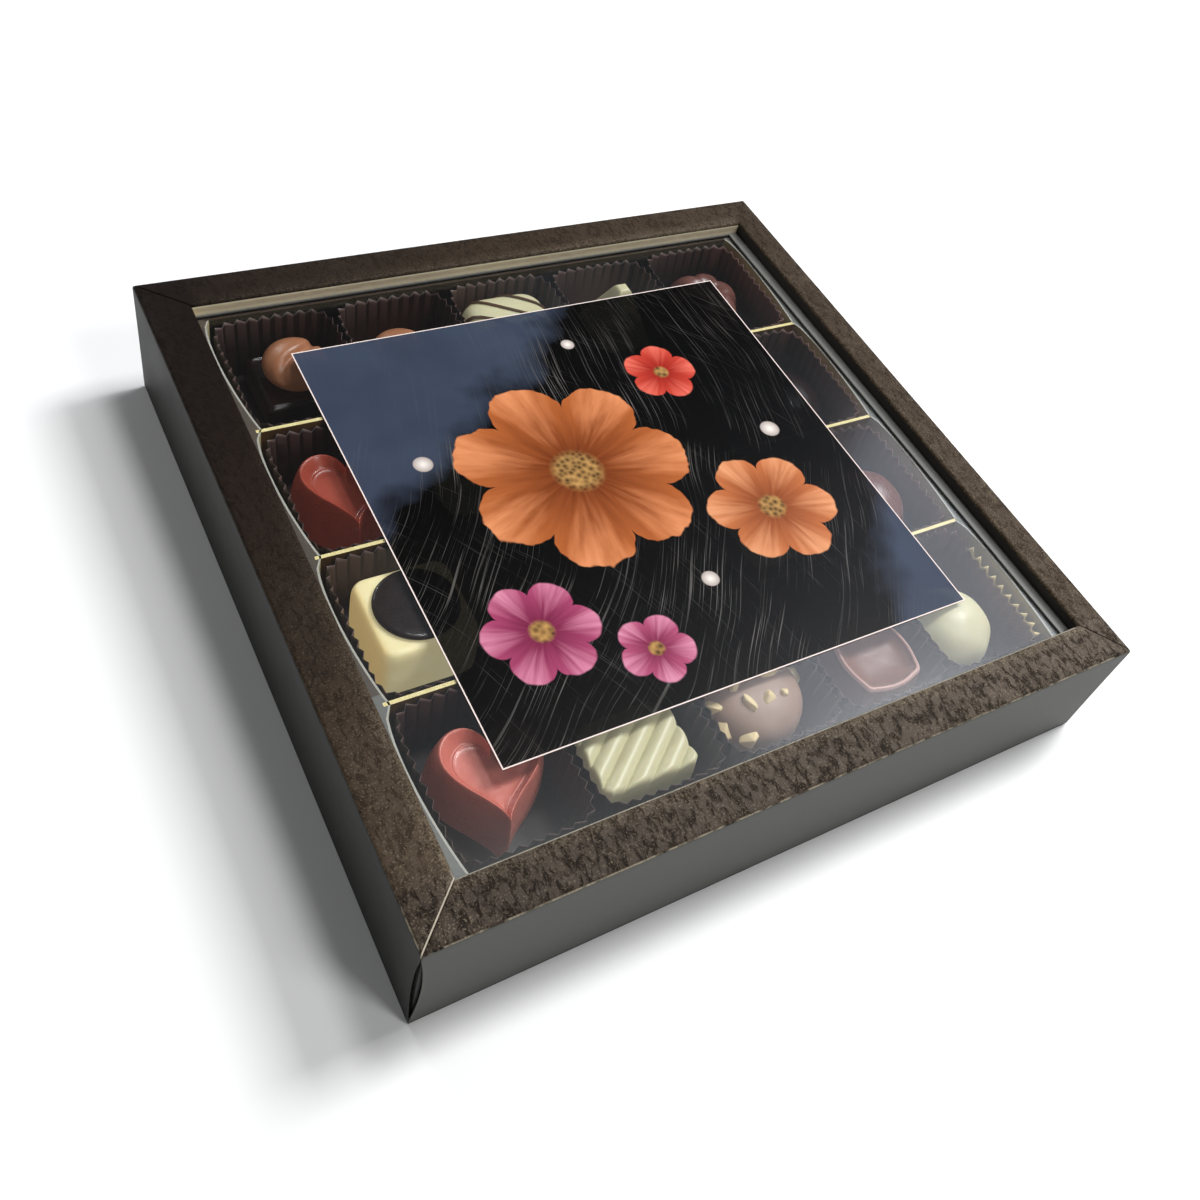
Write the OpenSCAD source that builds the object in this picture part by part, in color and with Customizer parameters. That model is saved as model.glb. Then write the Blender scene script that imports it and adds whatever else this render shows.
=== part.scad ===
// Square chocolate box: a frame lid with a clear window, lifted off a card tray
// that holds four rows of chocolates in fluted paper cups between card dividers.
// Millimetres. The origin is the middle of the underside; the front is -Y.

/* [Lid] */
// Side of the square box, outside the lid
box_side = 200; // [195:1:215]
// Height of the closed box, up to the window edge of the border
box_h = 37.5; // [36.5:0.5:46]
// Thickness of the lid's card
lid_card = 0.8; // [0.6:0.1:0.9]
// Width of the front, back and left borders round the window
border_w = 12; // [10.5:0.5:12.5]
// Width of the right border, which is folded narrower
right_border_w = 9.5; // [9:0.5:12.5]
// Rise of each border from its outer fold to its window edge
border_rise = 0.5; // [0:0.1:0.9]
// Outside radius of the border's folds
fold_r = 1; // [0.95:0.05:1.6]
// Depth of the card return from the window edge down to the window ring
return_h = 4; // [3.2:0.2:4.4]
// Width of the glued lap behind the return, under the border
lap_w = 6; // [4:0.5:8]
// Gap left between the lid's lower edge and the table
foot_gap = 0.5; // [0.3:0.1:2]
// Width of the lens-shaped gap where the front left corner seam springs open
sprung_gap = 2.8; // [1:0.2:3.2]
// Width of the same gap at the three tighter corners
seam_gap = 0.5; // [0.2:0.1:1]
// Width of the glue tabs inside the lid's corners
lid_tab_w = 9; // [6:0.5:14]

/* [Window] */
// Thickness of the card ring that carries the film
ring_t = 0.5; // [0.4:0.1:0.7]
// Gap in plan between the cell liner and the ring's opening
ring_reveal = 0.2; // [0.1:0.1:0.4]
// Thickness of the clear film
film_t = 0.25; // [0.15:0.05:0.3]
// Width of the film glued under the ring, outside the opening
film_lap = 6; // [4:0.5:7.5]
// Side of the square picture on the film
picture_w = 136; // [110:1:150]
// Thickness of the picture
picture_t = 0.15; // [0.1:0.05:0.3]

/* [Tray] */
// Thickness of the tray's card
tray_card = 0.8; // [0.6:0.1:0.9]
// Free play between the tray and the lid, on each side
slide_clearance = 0.4; // [0.3:0.05:0.5]
// Gap between the lid and what it comes down on
seat_clearance = 0.3; // [0.2:0.05:0.4]
// Width of the glue tabs inside the tray's corners
tray_tab_w = 14; // [8:1:20]
// Gap between the film and the tallest cup or chocolate, which sets the raised floor
headroom = 1.2; // [1:0.2:5.6]
// Free play round the raised floor
deck_clearance = 0.2; // [0.1:0.05:0.4]

/* [Cells] */
// Distance from the box's left and right outer faces to the cells
cells_margin_w = 14.6; // [14:0.1:15.5]
// Distance from its front and back outer faces to the cells
cells_margin_d = 13.4; // [13:0.1:14]
// Thickness of the cell liner's card
liner_t = 0.8; // [0.5:0.1:0.9]
// Outward bow of the side liners between two dividers
liner_bow = 0.9; // [0.2:0.1:1.2]
// Thickness of a divider
divider_t = 1; // [0.6:0.1:1.2]
// Height of the tab at each end of a divider
divider_tab_h = 9; // [5:0.5:14]
// Reach of that tab past the liner
divider_tab_reach = 2.4; // [1:0.2:4]
// Free play round a divider, in its slots and at its ends
divider_clearance = 0.15; // [0.1:0.05:0.25]

/* [Paper cups] */
// Thickness of the cup paper, with its stiffening folds
paper_t = 0.35; // [0.2:0.05:0.4]
// Height of a cup
cup_h = 18.6; // [15:0.2:19]
// Depth of the flutes from ridge to valley
flute_d = 0.9; // [0.5:0.1:1]
// Number of flutes round a cup
flutes = 32; // [20:1:34]
// Height of the teeth that the flutes make along the rim
cup_tooth = 0.9; // [0.3:0.1:1.2]
// Taper of a cup on each side, along the row
cup_taper_w = 0.5; // [0.2:0.1:0.6]
// Taper of a cup on each side, across the row
cup_taper_d = 0.5; // [0.2:0.1:1]
// Radius of a cup's corners
cup_corner_r = 4; // [3.5:0.1:4.5]
// Gap between a cup and its neighbours, the liner and the dividers
cup_clearance = 0.3; // [0.2:0.05:0.4]
// Least gap between a chocolate and its cup
choc_clearance = 0.4; // [0.3:0.1:0.5]

/* [Chocolates] */
// The rooms are what a piece leaves free of the clear width of its cup's foot.
// Room beside a heart
heart_room_w = 1.26; // [0.76:0.25:5.26]
// Room before and behind a heart
heart_room_l = 7.4; // [6.4:0.5:11.4]
// Height of a heart
heart_h = 17.5; // [12:0.5:19]
// Depth of the dish inside a heart's raised rim
heart_dish = 2; // [1:0.2:3]
// Room beside a ribbed block
ribbed_room = 3.26; // [2.26:0.25:7.26]
// Length of a ribbed block
ribbed_l = 20; // [18:0.5:26]
// Height of a ribbed block to the top of its ribs
ribbed_h = 17; // [12:0.5:19]
// Clip across a ribbed block's two back corners
ribbed_clip = 4; // [2:0.5:6]
// Clip across its two front corners
ribbed_front_clip = 1.4; // [1:0.2:6]
// Radius of a rib
rib_r = 2.6; // [2.5:0.1:3]
// Distance between ribs
rib_pitch = 4.8; // [4:0.1:5]
// Room beside a rimmed square's bulging sides
rimmed_room = 5.66; // [4.26:0.2:7.26]
// Outward bulge of a rimmed square's sides
rimmed_bulge = 2; // [1:0.1:2.4]
// Height of a rimmed square
rimmed_h = 16.5; // [12:0.5:18]
// Width of the rim
rim_w = 1.4; // [1:0.1:2.4]
// Depth of the dish inside the rim
rimmed_dish = 1.4; // [0.8:0.1:2.5]
// Room beside a dome
dome_room = 1.86; // [1.26:0.2:7.26]
// Height of a dome
dome_h = 16.8; // [14.4:0.2:17.6]
// Height of the upright side under a dome's curve
dome_skirt = 9.4; // [6:0.2:9.6]
// Length of the largest piece of chopped nut
nut_l = 4.4; // [3:0.2:4.6]
// Thickness of a piece of chopped nut
nut_t = 2.2; // [1.4:0.1:2.6]
// Room beside a truffle
truffle_room = 4.26; // [3.26:0.5:9.26]
// By how much a truffle, which stands on a cut flat, is lower than it is wide
truffle_squat = 6.6; // [5:0.2:7.6]
// Distance of its round side's middle from its axis
truffle_core_r = 3.2; // [3:0.1:4.1]
// Radius of the flatter curve over its top
truffle_top_r = 18; // [16:0.5:20]
// Room beside a cream square
cream_room = 4.26; // [3.26:0.5:7.26]
// Height of a cream square
cream_h = 16.5; // [12:0.5:17]
// Corner radius of a cream square
cream_r = 4; // [3.5:0.5:6]
// Width of cream left round the dark disc on it
disc_margin = 2; // [1.8:0.2:5.4]
// Thickness of that disc
disc_t = 1.6; // [1:0.1:2.5]
// Room beside a mocha square
mocha_room = 6.26; // [4.26:0.5:8.26]
// Height of a mocha square
mocha_h = 8.6; // [6:0.2:9]
// Bevel round a mocha square's top
mocha_bevel = 1.6; // [1:0.1:2.5]
// Width of the square left round the button on it
button_margin = 3.2; // [2.5:0.1:5]
// Height of the upright foot under the button's round top
button_foot_h = 1.9; // [1.3:0.1:2.1]
// Width of the groove across the button
groove_w = 2.2; // [1.2:0.1:3]
// Room at the ends of a striped oval
oval_room = 2.26; // [1.26:0.25:4.26]
// Width of a striped oval
oval_w = 18; // [16:0.5:22]
// Height of a striped oval
oval_h = 17.8; // [14:0.2:18.2]
// Radius of an oval's round ends in plan
oval_end_r = 6; // [5:0.5:7.5]
// Height of the stripes that stand on an oval
stripe_t = 0.5; // [0.3:0.1:1]
// Width of a stripe
stripe_w = 1.6; // [1:0.1:2.2]
// Side of a pyramid at its base
pyramid_w = 19; // [17:0.5:25]
// Height of a pyramid
pyramid_h = 18.6; // [14:0.2:18.8]
// Side of a pyramid's flat tip
pyramid_tip = 3; // [1:0.5:5]
// Room beside a flower's petals
flower_room = 2.26; // [1.26:0.25:7.26]
// Height of a flower
flower_h = 15.5; // [13:0.5:18]
// Depth of the notches between a flower's petals
petal_notch = 2.4; // [1.6:0.1:3]

/* [Hidden] */

rows = 4;
columns = 5;
half = box_side / 2;
// Length by which every cutting solid runs past what it cuts
overrun = 1;

// Lid levels
shoulder_z = box_h - border_rise;
ring_top = box_h - return_h;
film_top = ring_top - ring_t;
film_z = film_top - film_t;
border_widths = [border_w, right_border_w, border_w, border_w];
corner_sags = [sprung_gap, seam_gap, seam_gap, seam_gap] / 2;
// Height of the closed stretch of each corner seam, under the border's fold
seam_head = 2 * fold_r;

// Tray and cells
tray_half = half - lid_card - lid_card - slide_clearance;
tray_in = tray_half - tray_card;
tray_top = shoulder_z - lid_card - seat_clearance;
inner_face = tray_in - tray_card;
deck_half = inner_face - deck_clearance;
liner_top = film_z - seat_clearance;
cells_w = box_side - 2 * cells_margin_w;
cells_d = box_side - 2 * cells_margin_d;
cell_w = cells_w / columns;
cell_d = cells_d / rows;
bow_steps = 6;

// Window opening, just outside the bowed liner
open_x = cells_w / 2 + liner_bow + liner_t + ring_reveal;
open_y = cells_d / 2 + liner_t + ring_reveal;
ring_half = half - border_w + lap_w;

// Cups
rim_x = cell_w / 2 - cup_clearance;
rim_y = cell_d / 2 - divider_t / 2 - cup_clearance;

// Half the clear width and depth of a cup at its foot
foot_x = rim_x - cup_taper_w - flute_d - paper_t - choc_clearance;
foot_y = rim_y - cup_taper_d - flute_d - paper_t - choc_clearance;

// Chocolates, which are moulded to fit the foot of their cup
heart_w = 2 * foot_x - heart_room_w;
heart_l = 2 * foot_y - heart_room_l;
ribbed_w = 2 * foot_x - ribbed_room;
rimmed_w = 2 * (foot_x - rimmed_bulge) - rimmed_room;
dome_d = 2 * foot_x - dome_room;
truffle_d = 2 * foot_x - truffle_room;
truffle_h = truffle_d - truffle_squat;
truffle_side_r = truffle_d / 2 - truffle_core_r;
cream_w = 2 * foot_x - cream_room;
disc_d = cream_w - 2 * disc_margin;
mocha_w = 2 * foot_x - mocha_room;
button_d = mocha_w - 2 * button_margin;
button_h = button_d / 2 + button_foot_h;
oval_l = 2 * foot_x - oval_room;
flower_d = 2 * foot_x - flower_room;

// Share of a nut's thickness that is sunk in its dome
nut_sunk_share = 0.45;
// The raised floor lies so deep under the film that the tallest content clears it
content_h = max(
    cup_h, paper_t + heart_h, paper_t + ribbed_h, paper_t + rimmed_h, paper_t + truffle_h,
    paper_t + dome_h + nut_t * (1 - nut_sunk_share), paper_t + cream_h + disc_t,
    paper_t + mocha_h + button_h, paper_t + oval_h + stripe_t, paper_t + pyramid_h,
    paper_t + flower_h
);
deck_z = film_z - headroom - content_h;
cup_z = deck_z;
choc_z = deck_z + paper_t;
liner_h = liner_top - deck_z;

// Each chocolate's place in its cup, as a share of the play it has: to the right, to the back
place_shares = [
    [[0.9, 0.9], [-0.6, 0.4], [-0.4, 0.85], [0.95, 0.95], [0.9, 0.9]],
    [[-1, -0.3], [0, 0], [0.3, 0], [-0.2, 0.3], [0.3, -0.1]],
    [[0.5, 0.5], [-0.3, 0.2], [0, 0], [0.4, 0.2], [0.9, -0.3]],
    [[0.3, -0.4], [-0.9, -0.75], [0.9, -0.6], [0.75, -0.95], [-0.7, -0.6]]
];
heart_points = 28;
petals = 6;
flower_points = 36;
// Groove across a button, and the slant of stripes and ribs
groove_turn = 55;
stripe_turn = -35;
rib_turn = 40;
// Ovals' stripes: how many pitches their length holds, and the share of the width crossed
stripes_across = 4;
stripe_reach_share = 1.1;
round_fn = 48;

// Points of an arc about (x, y)
function arc(x, y, r, from, to, steps = 5) =
    [for (i = [0:steps]) let (a = from + (to - from) * i / steps) [x + r * cos(a), y + r * sin(a)]];

function cell_x(c) = (c - (columns + 1) / 2) * cell_w;
function cell_y(r) = ((rows + 1) / 2 - r) * cell_d;

// Radius of the circle that bulges by sag over a chord
function sag_r(chord, sag) = (chord * chord / 4 + sag * sag) / (2 * sag);

// Solid between a stack of rings that each hold the same number of points
module loft(rings) {
    n = len(rings[0]);
    top = len(rings) - 1;
    polyhedron(
        points = [for (ring = rings) for (p = ring) p],
        faces = concat(
            [[for (i = [0:n - 1]) i]],
            [for (k = [0:top - 1]) for (i = [0:n - 1]) let (j = (i + 1) % n)
                each [[k * n + i, (k + 1) * n + i, (k + 1) * n + j],
                      [k * n + i, (k + 1) * n + j, k * n + j]]],
            [[for (i = [0:n - 1]) top * n + n - 1 - i]]
        )
    );
}

// Section of a lid side: wall, border, return and lap, from the outer face inwards
function lid_section(w) = concat(
    [[0, foot_gap]],
    arc(fold_r, shoulder_z - fold_r, fold_r, 180, 90),
    arc(w - fold_r, box_h - fold_r, fold_r, 90, 0),
    [[w, ring_top], [w - lap_w, ring_top], [w - lap_w, ring_top + lid_card],
     [w - lid_card, ring_top + lid_card]],
    arc(w - fold_r, box_h - fold_r, fold_r - lid_card, 0, 90),
    arc(fold_r, shoulder_z - fold_r, fold_r - lid_card, 90, 180),
    [[lid_card, foot_gap]]
);

// Plan of one lid side between its two mitres
module mitred_plan(w, left_w, right_w) {
    past = (w + overrun) / w;
    polygon([
        [-half, 0], [half, 0],
        [half - right_w * past, w * past], [-half + left_w * past, w * past]
    ]);
}

// Cutter that draws a wall's end back along a shallow arc
module seam_cutter(end, sag) {
    low = foot_gap;
    high = shoulder_z - seam_head;
    r = sag_r(high - low, sag);
    translate([end * (half + r - sag), -overrun, (low + high) / 2])
        rotate([-90, 0, 0])
            cylinder(r = r, h = overrun + lid_card, $fn = 4 * round_fn);
}

// Side k of the lid: 0 front, 1 right, 2 back, 3 left
module lid_side(k) {
    w = border_widths[k];
    rotate([0, 0, 90 * k]) translate([0, -half, 0])
        difference() {
            intersection() {
                translate([-half, 0, 0]) rotate([90, 0, 90])
                    linear_extrude(box_side) polygon(lid_section(w));
                linear_extrude(box_h + overrun)
                    mitred_plan(w, border_widths[(k + 3) % 4], border_widths[(k + 1) % 4]);
            }
            seam_cutter(-1, corner_sags[k]);
            seam_cutter(1, corner_sags[(k + 1) % 4]);
        }
}

module lid_front() color([0.27, 0.25, 0.22]) lid_side(0);
module lid_right() color([0.25, 0.23, 0.20]) lid_side(1);
module lid_back() color([0.23, 0.21, 0.18]) lid_side(2);
module lid_left() color([0.21, 0.19, 0.17]) lid_side(3);

// Glue tabs: strips against the insides of the left and right walls, one at each corner
module lid_corner_tabs() {
    low = foot_gap + seam_head;
    high = shoulder_z - seam_head;
    in = half - lid_card;
    color([0.18, 0.17, 0.15])
        for (sx = [-1, 1], sy = [-1, 1]) scale([sx, sy, 1])
            translate([in - lid_card, in - lid_tab_w, low])
                cube([lid_card, lid_tab_w, high - low]);
}

module window_ring() color([0.45, 0.45, 0.42])
    translate([0, 0, film_top]) linear_extrude(ring_t) difference() {
        square(2 * ring_half, center = true);
        square([2 * open_x, 2 * open_y], center = true);
    }

module window_film() color([0.75, 0.78, 0.80, 0.3])
    translate([0, 0, film_z + film_t / 2])
        cube([2 * (open_x + film_lap), 2 * (open_y + film_lap), film_t], center = true);

module picture_panel() color([0.16, 0.16, 0.20])
    translate([0, 0, film_top + picture_t / 2])
        cube([picture_w, picture_w, picture_t], center = true);

module tray_floor() color([0.30, 0.29, 0.27])
    translate([0, 0, tray_card / 2])
        cube([2 * tray_half, 2 * tray_half, tray_card], center = true);

// Upright wall of the tray on its floor, with its outer face at -Y
module tray_wall(length) color([0.20, 0.19, 0.18])
    translate([-length / 2, -tray_half, tray_card])
        cube([length, tray_card, tray_top - tray_card]);

module tray_front() tray_wall(2 * tray_half);
module tray_back() rotate([0, 0, 180]) tray_wall(2 * tray_half);
module tray_left() rotate([0, 0, -90]) tray_wall(2 * tray_in);
module tray_right() rotate([0, 0, 90]) tray_wall(2 * tray_in);

// Glue tabs of the tray, inside the front and back walls at each corner
module tray_corner_tabs() color([0.22, 0.21, 0.20])
    for (sx = [-1, 1], sy = [-1, 1]) scale([sx, sy, 1])
        translate([tray_in - tray_tab_w, tray_in - tray_card, tray_card])
            cube([tray_tab_w, tray_card, film_z - tray_card - seat_clearance]);

// Card deck on four folded legs
module raised_floor() color([0.35, 0.30, 0.24]) {
    leg_h = deck_z - tray_card;
    translate([0, 0, tray_card]) difference() {
        linear_extrude(leg_h) square(2 * deck_half, center = true);
        translate([0, 0, -overrun]) linear_extrude(leg_h - tray_card + overrun)
            square(2 * (deck_half - tray_card), center = true);
    }
}

// Inner face of a side liner: a shallow bow in each bay, drawn in at each divider
liner_line = concat(
    [[cells_w / 2, -cells_d / 2 - liner_t]],
    [for (r = [0:rows - 1]) for (i = [0:bow_steps - 1])
        [cells_w / 2 + liner_bow * sin(180 * i / bow_steps),
         -cells_d / 2 + (r + i / bow_steps) * cell_d]],
    [[cells_w / 2, cells_d / 2], [cells_w / 2, cells_d / 2 + liner_t]]
);

function reversed(list) = [for (i = [len(list) - 1:-1:0]) list[i]];

module liner_side() color([0.52, 0.51, 0.48])
    translate([0, 0, deck_z]) difference() {
        union() {
            linear_extrude(liner_h)
                polygon(concat(liner_line, [for (p = reversed(liner_line)) p + [liner_t, 0]]));
            linear_extrude(tray_card)
                polygon(concat(liner_line, [for (s = [1, -1]) [deck_half, s * (cells_d / 2 + liner_t)]]));
        }
        for (k = [1:rows - 1])
            translate([cells_w / 2 - overrun, -cells_d / 2 + k * cell_d, liner_h / 2])
                translate([0, -divider_t / 2 - divider_clearance, -divider_tab_h / 2 - divider_clearance])
                    cube([2 * overrun + liner_t, divider_t + 2 * divider_clearance,
                          divider_tab_h + 2 * divider_clearance]);
    }

module liner_right() liner_side();
module liner_left() rotate([0, 0, 180]) liner_side();

module liner_end() color([0.50, 0.49, 0.46])
    translate([0, 0, deck_z]) {
        translate([-cells_w / 2, -cells_d / 2 - liner_t, 0]) cube([cells_w, liner_t, liner_h]);
        translate([-cells_w / 2, -deck_half, 0])
            cube([cells_w, deck_half - cells_d / 2, tray_card]);
    }

module liner_front() liner_end();
module liner_back() rotate([0, 0, 180]) liner_end();

// Divider k from the back, with a tab at each end that hooks through the liner
module divider(k) color([0.62, 0.54, 0.34])
    translate([0, cells_d / 2 - k * cell_d - divider_t / 2, deck_z]) {
        body_w = cells_w - 2 * divider_clearance;
        tab_w = cells_w + 2 * (liner_t + divider_tab_reach);
        translate([-body_w / 2, 0, 0]) cube([body_w, divider_t, liner_h]);
        translate([-tab_w / 2, 0, (liner_h - divider_tab_h) / 2])
            cube([tab_w, divider_t, divider_tab_h]);
    }

module divider_back() divider(1);
module divider_middle() divider(2);
module divider_front() divider(3);

// Turn of a rounded rectangle's corner
corner_turn = 90;

// Point at share s of the way round a rounded rectangle, with its outward normal:
// [x, y, nx, ny] from half sizes a and b and corner radius r
function round_rect(s, a, b, r) =
    let (
        side_a = 2 * (a - r), side_b = 2 * (b - r), bend = PI * r / 2,
        quarter = side_a + side_b + 2 * bend,
        d = s * 2 * quarter,
        turned = d >= quarter, e = turned ? d - quarter : d, f = turned ? -1 : 1,
        p = e < side_b ? [a, -b + r + e, 1, 0]
          : e < side_b + bend ? let (t = corner_turn * (e - side_b) / bend)
                [a - r + r * cos(t), b - r + r * sin(t), cos(t), sin(t)]
          : e < side_b + bend + side_a ? [a - r - (e - side_b - bend), b, 0, 1]
          : let (t = corner_turn * (1 + (e - side_b - bend - side_a) / bend))
                [-a + r + r * cos(t), b - r + r * sin(t), cos(t), sin(t)]
    ) f * p;

// Ring of a fluted cup: ridges at the half sizes a and b, valleys a flute's depth inside
function flute_ring(a, b, inset, z, tooth) =
    [for (i = [0:2 * flutes - 1])
        let (
            ridge = i % 2 == 0,
            q = round_rect(i / (2 * flutes), a, b, cup_corner_r),
            in = inset + (ridge ? 0 : flute_d)
        ) [q[0] - in * q[2], q[1] - in * q[3], z - (ridge ? 0 : tooth)]];

module cup() {
    base_x = rim_x - cup_taper_w;
    base_y = rim_y - cup_taper_d;
    loft([
        flute_ring(base_x, base_y, 0, 0, 0),
        flute_ring(rim_x, rim_y, 0, cup_h, cup_tooth),
        flute_ring(rim_x, rim_y, paper_t, cup_h, cup_tooth),
        flute_ring(base_x, base_y, paper_t, paper_t, 0)
    ]);
}

module cup_row(r)
    for (c = [1:columns]) translate([cell_x(c), cell_y(r), cup_z]) cup();

module cups_row1() color([0.17, 0.10, 0.08]) cup_row(1);
module cups_row2() color([0.20, 0.11, 0.08]) cup_row(2);
module cups_row3() color([0.19, 0.11, 0.08]) cup_row(3);
module cups_row4() color([0.18, 0.11, 0.09]) cup_row(4);

// Place a chocolate that is w wide and d deep in the cup of row r and column c
module in_cup(r, c, w, d, turn = 0) {
    share = place_shares[r - 1][c - 1];
    translate([cell_x(c) + share[0] * (foot_x - w / 2), cell_y(r) + share[1] * (foot_y - d / 2), choc_z])
        rotate([0, 0, turn]) children();
}

// Heart outline as shares of its half width and half length, tip towards -Y
function heart_share(t) =
    [pow(sin(t), 3), (13 * cos(t) - 5 * cos(2 * t) - 2 * cos(3 * t) - cos(4 * t) + 2.5) / 14.5];

function heart_ring(shrink, z) =
    [for (i = [0:heart_points - 1])
        let (p = heart_share(-360 * (i + 0.5) / heart_points))
            [p[0] * (heart_w / 2 - shrink), p[1] * (heart_l / 2 - shrink), z]];

// Each level of a heart as shares: how far it is drawn in, and how high it stands
heart_level_shares = [[0, 0], [0.05, 0.25], [0.4, 0.82], [0.6, 0.96], [0.85, 1], [1.15, 0.98]];
// Greatest inset that those shares multiply, the dish's share of it, and a heart's turn in its cup
heart_draw = 3;
heart_floor_share = 1.6;
heart_turn = -10;

module heart()
    loft(concat(
        [for (s = heart_level_shares) heart_ring(s[0] * heart_draw, s[1] * heart_h)],
        [heart_ring(heart_floor_share * heart_draw, heart_h - heart_dish)]
    ));

module heart_in_cup(r, c) in_cup(r, c, heart_w, heart_l, heart_turn) heart();

module heart_r2c1() color([0.47, 0.20, 0.16]) heart_in_cup(2, 1);
module heart_r3c3() color([0.40, 0.24, 0.17]) heart_in_cup(3, 3);
module heart_r4c1() color([0.52, 0.27, 0.24]) heart_in_cup(4, 1);

// Block with clipped corners and round ribs running slantwise over its top
module ribbed_block() {
    a = ribbed_w / 2;
    b = ribbed_l / 2;
    k = ribbed_clip;
    f = ribbed_front_clip;
    ribs = ceil((ribbed_w + ribbed_l) / 2 / rib_pitch);
    intersection() {
        linear_extrude(ribbed_h) polygon([
            [a - f, -b], [a, -b + f], [a, b - k], [a - k, b],
            [-a + k, b], [-a, b - k], [-a, -b + f], [-a + f, -b]
        ]);
        union() {
            translate([-ribbed_w, -ribbed_l, 0])
                cube([2 * ribbed_w, 2 * ribbed_l, ribbed_h - rib_r]);
            for (i = [-ribs:ribs]) rotate([0, 0, rib_turn])
                translate([-ribbed_w, i * rib_pitch, ribbed_h - rib_r])
                    rotate([0, 90, 0]) cylinder(r = rib_r, h = 2 * ribbed_w, $fn = round_fn);
        }
    }
}

module ribbed_in_cup(r, c) in_cup(r, c, ribbed_w, ribbed_l) ribbed_block();

module ribbed_block_r2c2() color([0.25, 0.15, 0.11]) ribbed_in_cup(2, 2);
module ribbed_block_r4c2() color([0.85, 0.84, 0.70]) ribbed_in_cup(4, 2);

// Square plan whose four sides bulge outwards as arcs
module bulged_plan(w, bulge) {
    r = sag_r(w, bulge);
    intersection_for(k = [0:3]) rotate([0, 0, 90 * k])
        translate([w / 2 + bulge - r, 0]) circle(r = r, $fn = 4 * round_fn);
}

module rimmed_square() difference() {
    linear_extrude(rimmed_h) bulged_plan(rimmed_w, rimmed_bulge);
    translate([0, 0, rimmed_h - rimmed_dish]) linear_extrude(rimmed_dish + overrun)
        bulged_plan(rimmed_w - 2 * rim_w, rimmed_bulge);
}

// Turned by a few degrees, a square still reaches about its bulged width each way
module rimmed_in_cup(r, c, turn) {
    reach = (rimmed_w + rimmed_bulge * 2) * cos(turn) + rimmed_bulge * abs(sin(turn));
    in_cup(r, c, reach, reach, turn) rimmed_square();
}

module rimmed_square_r2c3() color([0.40, 0.26, 0.19]) rimmed_in_cup(2, 3, 0);
module rimmed_square_r4c4() color([0.55, 0.42, 0.38]) rimmed_in_cup(4, 4, 2);

// Round dome: an upright skirt under a spherical cap
module dome() {
    cap_h = dome_h - dome_skirt;
    r = sag_r(dome_d, cap_h);
    rotate_extrude($fn = 2 * round_fn) intersection() {
        union() {
            square([dome_d / 2, dome_skirt]);
            translate([0, dome_h - r]) circle(r = r, $fn = 4 * round_fn);
        }
        square([dome_d / 2, dome_h]);
    }
}

module dome_in_cup(r, c) in_cup(r, c, dome_d, dome_d) children();

module dome_r2c5() color([0.20, 0.14, 0.12]) dome_in_cup(2, 5) dome();

// Chopped nuts: places on the cap as shares of a half turn and of the cap's slope,
// and each piece's own turn and size as shares
nut_shares = [
    [1.00, 0.94, 0.10, 1.0], [0.88, 0.40, 0.55, 0.9], [1.24, 0.44, 0.20, 0.8], [1.56, 0.30, 0.80, 0.8],
    [1.84, 0.52, 0.35, 0.8], [0.10, 0.34, 0.90, 0.9], [0.02, 1.02, 0.30, 0.9], [1.14, 1.04, 0.70, 0.9],
    [1.30, 1.04, 0.45, 0.9]
];
nut_outline_shares = [[-0.5, -0.1], [-0.1, -0.36], [0.42, -0.22], [0.5, 0.14], [0.06, 0.34], [-0.36, 0.28]];
// Slope at the foot of the cap, and the share of it down to which the nuts sit
cap_slope = 2 * atan((dome_h - dome_skirt) / (dome_d / 2));
nut_slope_share = 0.845;

module nuts_on_dome() {
    cap_h = dome_h - dome_skirt;
    r = sag_r(dome_d, cap_h);
    for (s = nut_shares)
        translate([0, 0, dome_h - r]) rotate([0, cap_slope * nut_slope_share * s[1], 180 * s[0]])
            translate([0, 0, r - nut_t * nut_sunk_share]) rotate([0, 0, 360 * s[2]])
                linear_extrude(nut_t) polygon(nut_outline_shares * nut_l * s[3]);
}

module nut_dome_r4c3() color([0.55, 0.40, 0.33]) dome_in_cup(4, 3) difference() {
    dome();
    nuts_on_dome();
}

module chopped_nuts() color([0.85, 0.72, 0.50]) dome_in_cup(4, 3) nuts_on_dome();

// Round truffle standing on a flat: a round side under a flatter top, tangent to each other
module truffle() {
    side_x = truffle_core_r;
    lean = asin(side_x / (truffle_top_r - truffle_side_r));
    side_z = truffle_h - truffle_top_r + (truffle_top_r - truffle_side_r) * cos(lean);
    rotate_extrude($fn = 2 * round_fn) intersection() {
        union() {
            translate([side_x, side_z]) circle(r = truffle_side_r, $fn = 2 * round_fn);
            intersection() {
                translate([0, truffle_h - truffle_top_r]) circle(r = truffle_top_r, $fn = 4 * round_fn);
                square([truffle_top_r * sin(lean), truffle_h]);
            }
        }
        square([truffle_d / 2, truffle_h]);
    }
}

module truffle_in_cup(r, c) in_cup(r, c, truffle_d, truffle_d) truffle();

module truffle_r3c2() color([0.33, 0.20, 0.14]) truffle_in_cup(3, 2);
module truffle_r3c5() color([0.55, 0.36, 0.34]) truffle_in_cup(3, 5);
module truffle_r4c5() color([0.90, 0.89, 0.76]) truffle_in_cup(4, 5);

// Square with round corners
module cream_square() {
    a = cream_w / 2 - cream_r;
    linear_extrude(cream_h) polygon(concat(
        arc(a, a, cream_r, 0, 90), arc(-a, a, cream_r, 90, 180),
        arc(-a, -a, cream_r, 180, 270), arc(a, -a, cream_r, 270, 360)
    ));
}

module cream_square_r3c1() color([0.90, 0.86, 0.66]) in_cup(3, 1, cream_w, cream_w) cream_square();

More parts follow.
